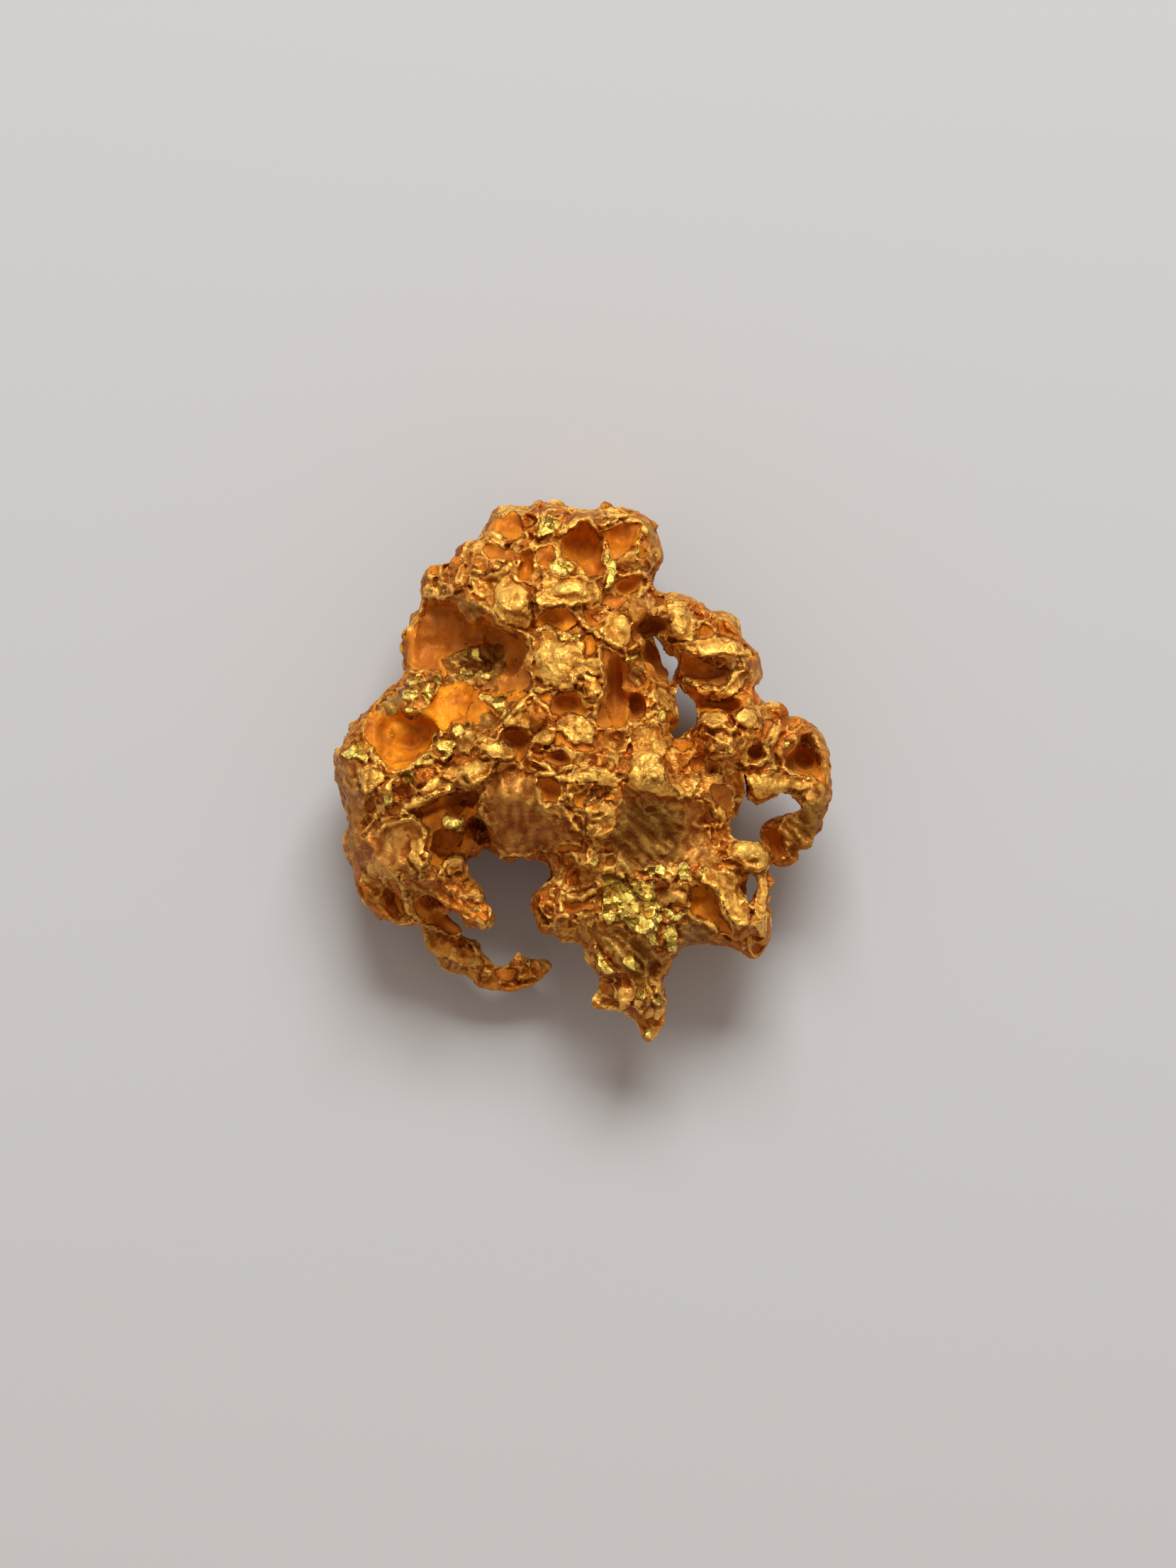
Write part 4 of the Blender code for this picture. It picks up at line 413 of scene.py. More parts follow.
    # finger, thin arm and lower left
    ("gold", 0.06, "-7.6,-4.6 -6.6,-4.6 -5.4,-5.2 -4.6,-5.9 -4.1,-6.6 -5.2,-6.5 -6.4,-5.7 -7.3,-5.2"),
    ("gold", 0.03, "-6.9,-6.8 -5.2,-7 -4.6,-7.7 -4.4,-8.3 -4.9,-8.5 -5.8,-8 -6.8,-7.4"),
    ("foil", 0.06, "-4.6,-5.7 -4.3,-5.6 -4.2,-5.9 -4.6,-6"),
    ("gold", 0, "-9.9,-4.3 -9.2,-4.1 -8.3,-4.6 -7.9,-5.6 -7.6,-6.3 -8.1,-6.5 -9,-6.2 -9.6,-5.4"),
    # tip of the top lobe, and the wall of the bay, painted brown for its shade
    ("pale", 0.08, "0.9,11.25 1.6,11.3 2.1,11.1 1.8,10.8 1.1,10.85"),
    ("foil", 0.1, "-1.9,10.6 -1.4,11 -0.9,10.7 -1.3,10.2 -2,9.9"),
    ("foil", 0.1, "-1.4,9 -1.1,9 -0.9,8.7 -0.7,8.5 -1.3,8.45"),
    ("brown", 0, "-4,-0.6 -3.3,0.1 -2.3,0 -1.9,-0.5 -1.7,-2 -0.8,-2.6 -1,-3.1 -2.5,-3.4 -3.3,-3.7 "
     "-3.8,-3")]

# Rounded lumps that fill out thin places: middle, half sizes, turn in degrees.
LUMPS = [
    ((-5.7, 6.3, 3.9), (1.8, 1.1, 1.3), 0), ((-4.3, 5.8, 4.2), (1.2, 0.9, 0.9), 0),
    ((-4.6, 5, 4.6), (1.3, 0.9, 0.9), 0), ((-7.5, 1.7, 5.1), (1.3, 1, 1.1), 0),
    ((-5.4, -2.9, 4.4), (1.4, 0.8, 1.1), 0), ((5.3, 4.4, 5.2), (1.1, 0.5, 1), 0),
    ((5.6, 3, 5), (0.9, 0.4, 1), 0), ((5.3, -5.5, 5.2), (0.9, 0.9, 0.9), 0),
    ((-6.2, -6.15, 2.7), (0.9, 0.4, 0.45), -40), ((-5.6, -6.55, 3), (0.6, 0.25, 0.4), -35),
    ((-4.2, -8.6, 1.95), (0.8, 0.5, 0.42), -38), ((-3.2, -9.05, 1.7), (0.7, 0.42, 0.42), -5),
    ((-2.4, -8.7, 1.9), (0.6, 0.36, 0.42), 20), ((2.75, -10.9, 3.7), (0.36, 0.7, 0.4), 5),
    ((2.3, 2.9, 5.6), (0.5, 0.6, 0.8), 0)]

# Rounded scoops that lower what stands too high, in the same terms.
SCOOPS = [
    ((2.2, 3.9, 8.2), (0.85, 0.95, 1.2), 0), ((2.8, 3.8, 8.3), (0.5, 0.7, 1.1), 0)]

# Gaps that go right through, as outlines.
GAPS = [
    # beside the upper right arm
    "3.1,5.7 3.4,5.45 3.6,5.05 3.95,4.85 3.97,4.5 3.8,4.1 3.65,4.05 3.6,4.4 3.3,5.1",
    # right of the middle
    "4.15,3.6 4.35,3.3 4.7,3 4.75,2.7 4.8,2.25 4.5,1.95 4.1,1.65 3.85,1.85 4.1,2.2 4.1,2.7 4,3.2",
    # inside the hook
    "7,-1.1 7.4,-1.4 7.7,-1.35 8.2,-1.05 8.5,-0.95 8.8,-1.15 9.1,-1.5 8.8,-1.7 8.2,-1.85 7.75,-2.05 "
     "7.55,-2.35 7.6,-2.7 7.1,-2.7 6.65,-2.6 6.5,-2 6.8,-1.75",
    # in the rim of the right plate, and a slit above the hook
    "7.08,-4.4 7.38,-4.45 7.42,-4.85 7.3,-5.3 7.1,-5.45 6.98,-5",
    "6.86,-0.15 6.98,-0.2 7.02,-0.6 7,-1 6.92,-0.7"]


def points_of(text):
    """The points of a line or an outline, one row each."""
    return np.array([[float(value) for value in pair.split(",")] for pair in text.split()])


def only_select(*things):
    """Selects these and nothing else, the first of them active."""
    bpy.ops.object.select_all(action="DESELECT")
    for thing in things:
        thing.select_set(True)
    bpy.context.view_layer.objects.active = things[0]


def linked(name, data):
    thing = bpy.data.objects.new(name, data)
    bpy.context.scene.collection.objects.link(thing)
    return thing


def apply_modifier(thing, kind, **values):
    only_select(thing)
    modifier = thing.modifiers.new(kind, kind)
    for key, value in values.items():
        setattr(modifier, key, value)
    bpy.ops.object.modifier_apply(modifier=modifier.name)


def close_skin(thing, voxel):
    """Closes one even skin round all that the thing is made of."""
    apply_modifier(thing, "REMESH", mode="VOXEL", voxel_size=voxel)


def cut(body, cutter):
    apply_modifier(body, "BOOLEAN", operation="DIFFERENCE", solver="MANIFOLD", object=cutter)
    bpy.data.objects.remove(cutter)


def vertex_values(body, kind="co"):
    """The places of a mesh's vertices, or their normals, one row each."""
    flat = np.empty(len(body.data.vertices) * 3, dtype=np.float32)
    body.data.vertices.foreach_get(kind, flat)
    return flat.reshape(-1, 3).astype(float)


def move_vertices(body, points):
    body.data.vertices.foreach_set("co", np.asarray(points, dtype=np.float32).ravel())
    body.data.update()


def smooth_step(values, low, high):
    share = np.clip((values - low) / (high - low), 0, 1)
    return share * share * (3 - 2 * share)


def ridge(distance, width):
    """1 on a line, falling off to both sides."""
    return np.exp(-(distance / width) ** 2)


# ==== Noise that is the same on every run ====
# Its salt makes one noise differ from the next.

# The twelve directions from the middle of a cube to its edges, four of them twice.
DIRECTIONS = np.array([(1, 1, 0), (-1, 1, 0), (1, -1, 0), (-1, -1, 0), (1, 0, 1), (-1, 0, 1), (1, 0, -1),
                       (-1, 0, -1), (0, 1, 1), (0, -1, 1), (0, 1, -1), (0, -1, -1), (1, 1, 0), (-1, 1, 0),
                       (0, -1, 1), (0, -1, -1)], dtype=float)
FACTORS = [np.uint32(factor) for factor in (374761393, 668265263, 2246822519)]
STIR = np.uint32(1274126177)
SALT_START = 97
SALT_STEP = 2654435
TOP_CODE = 4294967295.0


def scramble(cells, salt):
    """A whole number for each cell, as good as random."""
    code = sum(cells[..., axis].astype(np.uint32) * FACTORS[axis] for axis in range(3))
    code = code + np.uint32(salt * SALT_STEP + SALT_START)
    code = (code ^ (code >> np.uint32(13))) * STIR
    code = (code ^ (code >> np.uint32(15))) * FACTORS[2]
    return code ^ (code >> np.uint32(16))


def chance(cells, salt):
    return scramble(cells, salt) / TOP_CODE


def soft_noise(points, size, salt):
    """Smooth noise between about -1 and 1, with lumps of this size."""
    off_the_axes = 31.7
    full_range = 1.5
    scaled = points / size + off_the_axes
    whole = np.floor(scaled)
    part = scaled - whole
    fade = part ** 3 * (part * (part * 6 - 15) + 10)
    whole = whole.astype(np.int64)
    total = 0.0
    for corner in range(8):
        step = np.array([corner & 1, corner >> 1 & 1, corner >> 2])
        weight = np.prod(np.where(step == 1, fade, 1 - fade), axis=-1)
        lean = DIRECTIONS[scramble(whole + step, salt) & np.uint32(15)]
        total = total + weight * np.sum(lean * (part - step), axis=-1)
    return total * full_range


def noise_shift(points, size, salt):
    """Soft noise in each of the three directions."""
    return np.stack([soft_noise(points, size, salt + axis) for axis in range(3)], axis=-1)


def crests(points, size, salt):
    """Winding crests: 1 along thin lines, falling off to both sides."""
    return 1 - np.minimum(1, np.abs(soft_noise(points, size, salt)) * 2.2)


def flakes(places, size, lean, toward, level, salt):
    """Flat flakes, each with its own height and its own lean."""
    cell = np.floor(places / size).astype(np.int64)
    cell[..., 2] = 0
    nearest = np.full(places.shape[:-1], FAR)
    height = np.zeros_like(nearest)
    for column in (-1, 0, 1):
        for row in (-1, 0, 1):
            other = cell + np.array([column, row, 0])
            dx = places[..., 0] - (other[..., 0] + 0.1 + 0.8 * chance(other, salt)) * size
            dy = places[..., 1] - (other[..., 1] + 0.1 + 0.8 * chance(other, salt + 1)) * size
            distance = dx * dx + dy * dy
            slope_x = (2 * chance(other, salt + 2) - 1) * lean
            slope_y = (2 * chance(other, salt + 3) - 1) * lean + toward
            flake = (2 * chance(other, salt + 4) - 1) * level + slope_x * dx + slope_y * dy
            closer = distance < nearest
            nearest = np.where(closer, distance, nearest)
            height = np.where(closer, flake, height)
    return height


# ==== Maps of the upper face ====

class Map:
    """The places over the upper face, one for each small cell."""
    across = np.arange(-MAP_HALF_X, MAP_HALF_X, MAP_PITCH)
    along = np.arange(-MAP_HALF_Y, MAP_HALF_Y, MAP_PITCH)
    x, y = np.meshgrid(across, along)
    flat = np.stack([x, y, np.zeros_like(x)], axis=-1)


def wandered(axis):
    """One direction of the places bent by noise, so that an outline drawn through them is ragged."""
    shift = 0.13 * soft_noise(Map.flat, 0.85, 11 + axis) + 0.07 * soft_noise(Map.flat, 0.3, 21 + axis)
    return Map.flat[..., axis] + shift


def window(low, high):
    """The part of the maps between two corners, with a margin."""
    limits = [slice(max(0, int((low[axis] - MARGIN + half) / MAP_PITCH)),
                    int((high[axis] + MARGIN + half) / MAP_PITCH) + 1)
              for axis, half in ((1, MAP_HALF_Y), (0, MAP_HALF_X))]
    return tuple(limits)


def line_window(line):
    return window(line.min(axis=0), line.max(axis=0))


def oval_window(oval):
    reach = max(oval[2], oval[3])
    return window((oval[0] - reach, oval[1] - reach), (oval[0] + reach, oval[1] + reach))


def curved_loop(corners, steps=4):
    """A closed smooth line through the corners."""
    line = []
    for index in range(len(corners)):
        before, first, second, after = (corners[(index + shift) % len(corners)] for shift in (-1, 0, 1, 2))
        for step in range(steps):
            t = step / steps
            line.append(0.5 * (2 * first + (second - before) * t
                        + (2 * before - 5 * first + 4 * second - after) * t * t
                        + (3 * first - before - 3 * second + after) * t ** 3))
    return np.array(line)


def line_distance(x, y, starts, ends):
    """Distance of each place from the nearest of some straight stretches."""
    nearest = np.full(x.shape, FAR)
    for (ax, ay), (bx, by) in zip(starts, ends):
        dx, dy = bx - ax, by - ay
        share = np.clip(((x - ax) * dx + (y - ay) * dy) / (dx * dx + dy * dy + 1e-12), 0, 1)
        nearest = np.minimum(nearest, np.hypot(x - ax - share * dx, y - ay - share * dy))
    return nearest


def loop_depth(x, y, line):
    """How far each place lies inside the loop, negative outside it."""
    ends = np.roll(line, -1, axis=0)
    inside = np.zeros(x.shape, dtype=bool)
    for (ax, ay), (bx, by) in zip(line, ends):
        if ay != by:
            crossing = (ay > y) != (by > y)
            inside ^= crossing & (x < (bx - ax) * (y - ay) / (by - ay) + ax)
    distance = line_distance(x, y, line, ends)
    return np.where(inside, distance, -distance)


def oval_depth(x, y, oval):
    """The same for an oval, roughly."""
    centre_x, centre_y, length, width, turn = oval[:5]
    angle = math.radians(turn)
    along = (x - centre_x) * math.cos(angle) + (y - centre_y) * math.sin(angle)
    across = (y - centre_y) * math.cos(angle) - (x - centre_x) * math.sin(angle)
    return (1 - np.hypot(along / length, across / width)) * min(length, width)


def lift(values, part, new):
    """Raises part of a map to the new values where they are higher."""
    values[part] = np.maximum(values[part], new)


def clear(maps, part, cover):
    """Wipes part of these maps as far as it is covered."""
    for values in maps:
        values[part] *= 1 - cover


class UpperFace:
    """The relief and the finish of the upper face, drawn from the lists above."""

    def __init__(self):
        self.bent_x, self.bent_y = wandered(0), wandered(1)
        for name in ("depth", "hollow", "dark", "rise", "lip", "foil", "smooth", "pale", "olive", "line",
                     "calm", "lean"):
            setattr(self, name, np.zeros_like(Map.x))
        self.draw_hollows()
        self.draw_knobs()
        self.draw_lips()
        self.draw_finish()
        self.draw_patches()
        self.height, self.detail = self.relief()

    def inside_line(self, line):
        part = line_window(line)
        return part, loop_depth(self.bent_x[part], self.bent_y[part], line)

    def inside_oval(self, oval):
        part = oval_window(oval)
        return part, oval_depth(self.bent_x[part], self.bent_y[part], oval)

    def find_edge(self, surface):
        """1 well inside the outline, falling to a quarter along its edge."""
        above_all = 50.0
        edge = 0.24
        rows, columns = Map.x.shape
        solid = np.zeros_like(Map.x)
        for row in range(0, rows, 2):
            for column in range(0, columns, 2):
                above = Vector((Map.across[column], Map.along[row], above_all))
                if surface.ray_cast(above, Vector((0.0, 0.0, -1.0)))[0] is not None:
                    solid[row:row + 2, column:column + 2] = 1.0
        reach = int(edge / MAP_PITCH)
        for axis in (0, 1):
            for _ in range(2):
                solid = sum(np.roll(solid, step, axis) for step in range(-reach, reach + 1)) / (2 * reach + 1)
        self.inland = 0.25 + 0.75 * smooth_step(solid, 0.5, 0.9)

    def sink(self, part, inside, depth, darkness, wall):
        """A hollow with a rim: a steep wall of this width, then a gentler floor."""
        profile = 0.7 * smooth_step(inside, -0.03, wall) + 0.3 * smooth_step(inside, 0, 3 * wall)
        lift(self.depth, part, DEEPEST * (1 - math.exp(-depth / DEPTH_EASE)) * profile)
        cover = smooth_step(inside, -0.02, 0.1)
        broken = smooth_step(soft_noise(Map.flat[part], 0.35, 5), -0.35, 0.15)
        # The rim is raised, and painted pale as a highlight.
        rim = ridge(inside + 0.06, 0.06) * broken * (1 - self.hollow[part])
        clear((self.lip, self.pale, self.line, self.dark), part, cover)
        lift(self.hollow, part, cover)
        # The darkness is painted shade.
        lift(self.dark, part, cover * darkness)
        lift(self.lip, part, rim * 0.09)
        lift(self.pale, part, 0.8 * rim)
        # A dark line just inside the edge is painted shade.
        lift(self.line, part, 0.7 * ridge(inside - 0.05, 0.05))

    def draw_hollows(self):
        for depth, darkness, outline in HOLLOWS:
            part, inside = self.inside_line(curved_loop(points_of(outline)))
            self.sink(part, inside, depth, darkness, 0.16 + 0.1 * depth)
        for pit in PITS:
            part, inside = self.inside_oval(pit)
            self.sink(part, inside, pit[5], pit[6], min(0.12, 0.8 * min(pit[2], pit[3])))

    def draw_knobs(self):
        for knob in KNOBS:
            part, inside = self.inside_oval(knob)
            lift(self.rise, part, knob[5] * smooth_step(inside, -0.05, 0.14))
            clear((self.hollow, self.dark), part, smooth_step(inside, -0.02, 0.06))

    def draw_lips(self):
        for thickness, route in LIPS:
            line = points_of(route)
            part = line_window(line)
            distance = line_distance(self.bent_x[part], self.bent_y[part], line[:-1], line[1:])
            crest = ridge(distance, thickness * 0.85)
            cover = smooth_step(crest, 0.3, 0.7)
            lift(self.lip, part, crest * 2.0 * thickness)
            clear((self.hollow, self.dark, self.line), part, cover)
            # Lips are painted pale as a highlight.
            lift(self.pale, part, 0.8 * cover)
            # The dark line beside a lip is painted shade.
            lift(self.line, part, 0.7 * ridge(distance - 1.5 * thickness, 0.05))

    def draw_finish(self):
        for values, ovals, edge in ((self.foil, FOIL, 0.06), (self.smooth, SMOOTH, 0.4)):
            for oval in ovals:
                part, inside = self.inside_oval(oval)
                lift(values, part, smooth_step(inside, -edge, edge))
        clear((self.hollow, self.dark), ..., 0.9 * self.foil)

    def draw_patches(self):
        dice = random.Random(SEED + 3)
        # Brown patches carry the painted shade of the smooth flanks; gold ones take a third of the pale
        # colour, partly a painted lightening of parts in shade, such as the finger.
        finish = {"pale": (self.pale, 1.0), "gold": (self.pale, 0.35), "foil": (self.foil, 1.0),
                  "brown": (self.smooth, 1.0), "olive": (self.olive, 1.0)}
        steepest = 0.25
        for kind, height, outline in PATCHES:
            line = points_of(outline)
            x_slope, y_slope = dice.uniform(-0.25, 0.25), dice.uniform(-0.45, -0.1)
            middle = line.mean(axis=0)
            part, inside = self.inside_line(line)
            soft = kind in ("brown", "olive")
            cover = smooth_step(inside, -0.35, 0.3) if soft else smooth_step(inside, -0.03, 0.05)
            tilt = x_slope * (Map.x[part] - middle[0]) + y_slope * (Map.y[part] - middle[1])
            lift(self.calm, part, cover)
            if height > 0:
                self.lean[part] += cover * (height + np.clip(tilt, -steepest, steepest))
                self.lean[part] += 0.04 * ridge(inside - 0.05, 0.05)
                # A dark line just outside a raised patch is painted shade.
                lift(self.line, part, 0.8 * ridge(inside + 0.06, 0.05))
            clear((self.hollow, self.dark, self.line, self.smooth, self.olive, self.pale, self.foil), part,
                  cover)
            values, share = finish[kind]
            lift(values, part, share * cover)

    def relief(self):
        """The broad relief, and the fine one that goes on top of it."""
        plain = Map.flat
        x, y, level = plain[..., 0], plain[..., 1], plain[..., 2]
        sway = np.stack([soft_noise(plain, 0.7, 31), soft_noise(plain, 0.7, 32), level], axis=-1)
        bent = plain + 0.25 * sway
        diagonal = np.stack([x + y, 0.25 * (y - x), level], axis=-1)
        rough = (1 - 0.75 * self.hollow) * (1 - 0.6 * self.smooth) * (1 - 0.95 * self.foil)
        calm = 1 - 0.75 * np.maximum(self.calm, self.pale)
        broad = 0.22 * soft_noise(plain, 1.9, 33)
        plates = flakes(bent, 1.0, 0.35, -0.05, 0.12, 51)
        chips = flakes(bent, 0.42, 0.5, -0.05, 0.07, 61)
        shards = flakes(plain, 0.8, 0.3, -0.1, 0.05, 41) * self.foil
        worms = 0.09 * (crests(bent, 0.85, 34) - 0.5)
        fine_worms = 0.06 * (crests(bent, 0.4, 35) - 0.5)
        finest = 0.03 * (crests(bent, 0.2, 38) - 0.5)
        streaks = 0.05 * soft_noise(plain * np.array([1.0, 0.3, 1.0]), 0.25, 37) * self.hollow
        combed = (0.2 * soft_noise(diagonal, 0.35, 39) * self.olive
                  + 0.16 * soft_noise(bent * np.array([1.0, 0.4, 1.0]), 0.42, 40) * self.smooth)
        coarse = (-self.depth + self.rise + self.lip + broad + self.lean
                  + rough * calm * (plates + worms) + streaks + combed)
        fine = rough * (calm * (chips + fine_worms) + finest) + shards + 0.3 * self.lip
        return coarse, fine


def sample(values, points):
    """The map's value at each of these points."""
    column = np.clip((points[:, 0] + MAP_HALF_X) / MAP_PITCH, 0, values.shape[1] - 1.001)
    row = np.clip((points[:, 1] + MAP_HALF_Y) / MAP_PITCH, 0, values.shape[0] - 1.001)
    left, front = column.astype(int), row.astype(int)
    across, along = column - left, row - front
    front_value = values[front, left] * (1 - across) + values[front, left + 1] * across
    back_value = values[front + 1, left] * (1 - across) + values[front + 1, left + 1] * across
    return front_value * (1 - along) + back_value * along


# ==== The nugget ====

def blank_from_node(node):
    """A smooth copy of the solid, in millimetres."""
    thing = linked("blank", bpy.data.objects[node].data.copy())
    mesh = bmesh.new()
    mesh.from_mesh(thing.data)
    bmesh.ops.remove_doubles(mesh, verts=mesh.verts, dist=1e-7)
    mesh.to_mesh(thing.data)
    mesh.free()
    thing.data.transform(Matrix.Scale(1 / MM, 4))
    close_skin(thing, BLANK_VOXEL)
    apply_modifier(thing, "SMOOTH", factor=0.5, iterations=4)
    return thing


def surface_of(thing):
    bpy.context.view_layer.update()
    return BVHTree.FromObject(thing, bpy.context.evaluated_depsgraph_get())


def open_to_sky(thing, facing):
    """1 for each vertex that faces up and has nothing above it, 0 for the others."""
    surface = surface_of(thing)
    points = vertex_values(thing)
    seen = np.zeros(len(points))
    for index in np.nonzero(facing > 0.0)[0]:
        x, y, z = points[index]
        if surface.ray_cast(Vector((x, y, z + 0.1)), Vector((0.0, 0.0, 1.0)))[0] is None:
            seen[index] = 1.0
    return seen


class Ball:
    """One rounded lump, modelled once and copied."""

    def __init__(self):
        bpy.ops.object.select_all(action="DESELECT")
        bpy.ops.mesh.primitive_ico_sphere_add(subdivisions=2, radius=1.0)
        source = bpy.context.object
        self.shape = vertex_values(source)
        self.faces = np.array([face.vertices[:] for face in source.data.polygons])
        bpy.data.objects.remove(source)

    def copy(self, radii, turn, middle):
        return (self.shape * radii) @ np.array(turn).T + np.array(middle)

    def gathered(self, name, clouds):
        """One object of many copies, each with its own points."""
        faces = np.concatenate([self.faces + len(self.shape) * index for index in range(len(clouds))])
        data = bpy.data.meshes.new(name)
        data.from_pydata(np.concatenate(clouds).tolist(), [], faces.tolist())
        return linked(name, data)

    def scattered(self, body, sizes, low, high, sink, dice):
        """Bent copies at random places where the skin faces between low and high."""
        faces = [face for face in body.data.polygons
                 if low < face.normal.z < high and face.center.y > THICK_FROM_Y]
        clouds = []
        for face in dice.sample(faces, BALLS):
            size = sizes[0] + (sizes[1] - sizes[0]) * dice.random() ** 2
            radii = np.array([size * dice.uniform(0.6, 1.5) for _ in range(3)])
            angle = dice.uniform(0, math.tau)
            axis = Vector((dice.uniform(-1, 1), dice.uniform(-1, 1), dice.uniform(-1, 1) + 1e-3))
            clouds.append(self.copy(radii, Matrix.Rotation(angle, 3, axis),
                                    face.center + face.normal * size * sink))
        points = np.concatenate(clouds)
        return np.split(points + 0.16 * noise_shift(points, 0.6, 61), len(clouds))

    def placed(self, places):
        return [self.copy(np.array(sizes), Matrix.Rotation(math.radians(turn), 3, "Z"), middle)
                for middle, sizes, turn in places]


def add_to(body, addition):
    """Joins the addition to the body and closes one skin round both."""
    only_select(body, addition)
    bpy.ops.object.join()
    close_skin(body, BLANK_VOXEL)
    apply_modifier(body, "SMOOTH", factor=0.5, iterations=3)


def carve(body, cutter):
    close_skin(cutter, BLANK_VOXEL)
    cut(body, cutter)
    close_skin(body, BLANK_VOXEL)


def upper_share(body, face):
    """How far each vertex follows the maps of the upper face."""
    facing = vertex_values(body, "normal")[:, 2]
    inland = sample(face.inland, vertex_values(body))
    return open_to_sky(body, facing) * smooth_step(facing, 0.0, 0.45) * inland


def press_upper_face(body, face):
    """Moves what can be seen from above up and down by the relief."""
    points = vertex_values(body)
    points[:, 2] += upper_share(body, face) * sample(face.height, points)
    high = points[:, 2] > TALL
    points[high, 2] = TALL + TALL_SHARE * (points[high, 2] - TALL)
    move_vertices(body, points)
    close_skin(body, FINE_VOXEL)


def sharpen_upper_face(body, face):
    """Adds the fine relief, half upward and half along the skin's own direction."""
    points = vertex_values(body)
    shift = upper_share(body, face) * sample(face.detail, points)
    lean = vertex_values(body, "normal") * 0.5 + np.array([0.0, 0.0, 0.5])
    move_vertices(body, points + lean * shift[:, None])


def crumple_sides(body):
    """Wrinkles the sides and the underside along their own direction."""
    points = vertex_values(body)
    normals = vertex_values(body, "normal")
    share = 1 - smooth_step(normals[:, 2], 0.1, 0.5)
    bent = points + 0.3 * noise_shift(points, 0.8, 71)
    shift = (0.08 * soft_noise(bent, 1.0, 76) + 0.05 * (crests(bent, 1.1, 74) - 0.55)
             + 0.06 * (crests(bent, 0.45, 75) - 0.5))
    even = spread(body, points, 3)
    points += share[:, None] * 0.6 * (even - points) + normals * (share * shift)[:, None]
    points[:, 2] = np.maximum(points[:, 2], 0.0)
    move_vertices(body, points)


def prism_of(line):
    """An upright cutter with this outline, taller than the nugget."""
    curve = bpy.data.curves.new("gap", "CURVE")
    curve.dimensions = "2D"
    curve.fill_mode = "BOTH"
    curve.extrude = 20.0
    spline = curve.splines.new("POLY")
    spline.points.add(len(line) - 1)
    for point, (x, y) in zip(spline.points, line):
        point.co = (x, y, 0.0, 1.0)
    spline.use_cyclic_u = True
    only_select(linked("gap", curve))
    bpy.ops.object.convert(target="MESH")
    prism = bpy.context.object
    mesh = bmesh.new()
    mesh.from_mesh(prism.data)
    bmesh.ops.remove_doubles(mesh, verts=mesh.verts, dist=1e-5)
    bmesh.ops.triangulate(mesh, faces=mesh.faces)
    bmesh.ops.recalc_face_normals(mesh, faces=mesh.faces)
    mesh.to_mesh(prism.data)
    mesh.free()
    return prism


def open_gaps(body):
    """Cuts the gaps that go right through, a little wider than they are drawn."""
    widening = 1.18
    for outline in GAPS:
        line = curved_loop(points_of(outline))
        middle = line.mean(axis=0)
        cut(body, prism_of(middle + widening * (line - middle)))


def keep_largest(body):
    """Drops any crumb that carving has set loose."""
    mesh = bmesh.new()
    mesh.from_mesh(body.data)
    lumps = []
    found = set()
    for start in mesh.verts:
        if start in found:
            continue
        found.add(start)
        lump = [start]
        for vertex in lump:
            for edge in vertex.link_edges:
                other = edge.other_vert(vertex)
                if other not in found:
                    found.add(other)
                    lump.append(other)
        lumps.append(lump)
    biggest = max(lumps, key=len)
    crumbs = [vertex for lump in lumps if lump is not biggest for vertex in lump]
    bmesh.ops.delete(mesh, geom=crumbs, context="VERTS")
    mesh.to_mesh(body.data)
    mesh.free()


def thin_out(body):
    """Brings the mesh down to size."""
    count = sum(len(face.vertices) - 2 for face in body.data.polygons)
    apply_modifier(body, "DECIMATE", ratio=min(1.0, TRIANGLES / count))
    points = vertex_values(body)
    points[:, 2] = np.maximum(points[:, 2], 0.0)
    move_vertices(body, points)


def spread(body, values, rounds):
    """The values evened out over neighbouring vertices."""
    edges = np.empty(len(body.data.edges) * 2, dtype=np.int32)
    body.data.edges.foreach_get("vertices", edges)
    first, second = edges[0::2], edges[1::2]
    count = len(body.data.vertices)
    degree = np.bincount(edges, minlength=count).astype(float)
    for _ in range(rounds):
        columns = []
        for column in values.T:
            total = (np.bincount(first, column[second], minlength=count)
                     + np.bincount(second, column[first], minlength=count))
            columns.append(0.5 * column + 0.5 * total / degree)
        values = np.stack(columns, axis=-1)
    return values


def mark_finish(body, face):
    """Keeps on the mesh where it is hollow, dark, foil, smooth, crested and so on."""
    points = vertex_values(body)
    normals = vertex_values(body, "normal")
    near = np.sum((points - spread(body, points, 6)) * normals, axis=1)
    far = np.sum((points - spread(body, points, 60)) * normals, axis=1)
    upper = open_to_sky(body, normals[:, 2]) * smooth_step(normals[:, 2], -0.2, 0.15)
    upper = spread(body, upper[:, None], 2)[:, 0]
    marks = {name: upper * sample(getattr(face, name), points)
             for name in ("hollow", "dark", "foil", "smooth", "pale", "olive", "line")}
    marks["crest"] = smooth_step(near, -0.035, 0.035)
    marks["sunk"] = smooth_step(-far, 0.02, 0.2)
    # On the sides and underside, sunken places take the hollows' orange, partly painted reflected light.
    marks["hollow"] = marks["hollow"] + (1 - upper) * marks["sunk"]
    # Deep recesses of the sides and underside are darkened with painted shade.
    marks["dark"] = marks["dark"] + (1 - upper) * smooth_step(-far, 0.1, 0.4) * 0.7
    for name, values in marks.items():
        mark = body.data.attributes.new(name, "FLOAT", "POINT")
        mark.data.foreach_set("value", values.astype(np.float32))


# ==== Natural gold ====

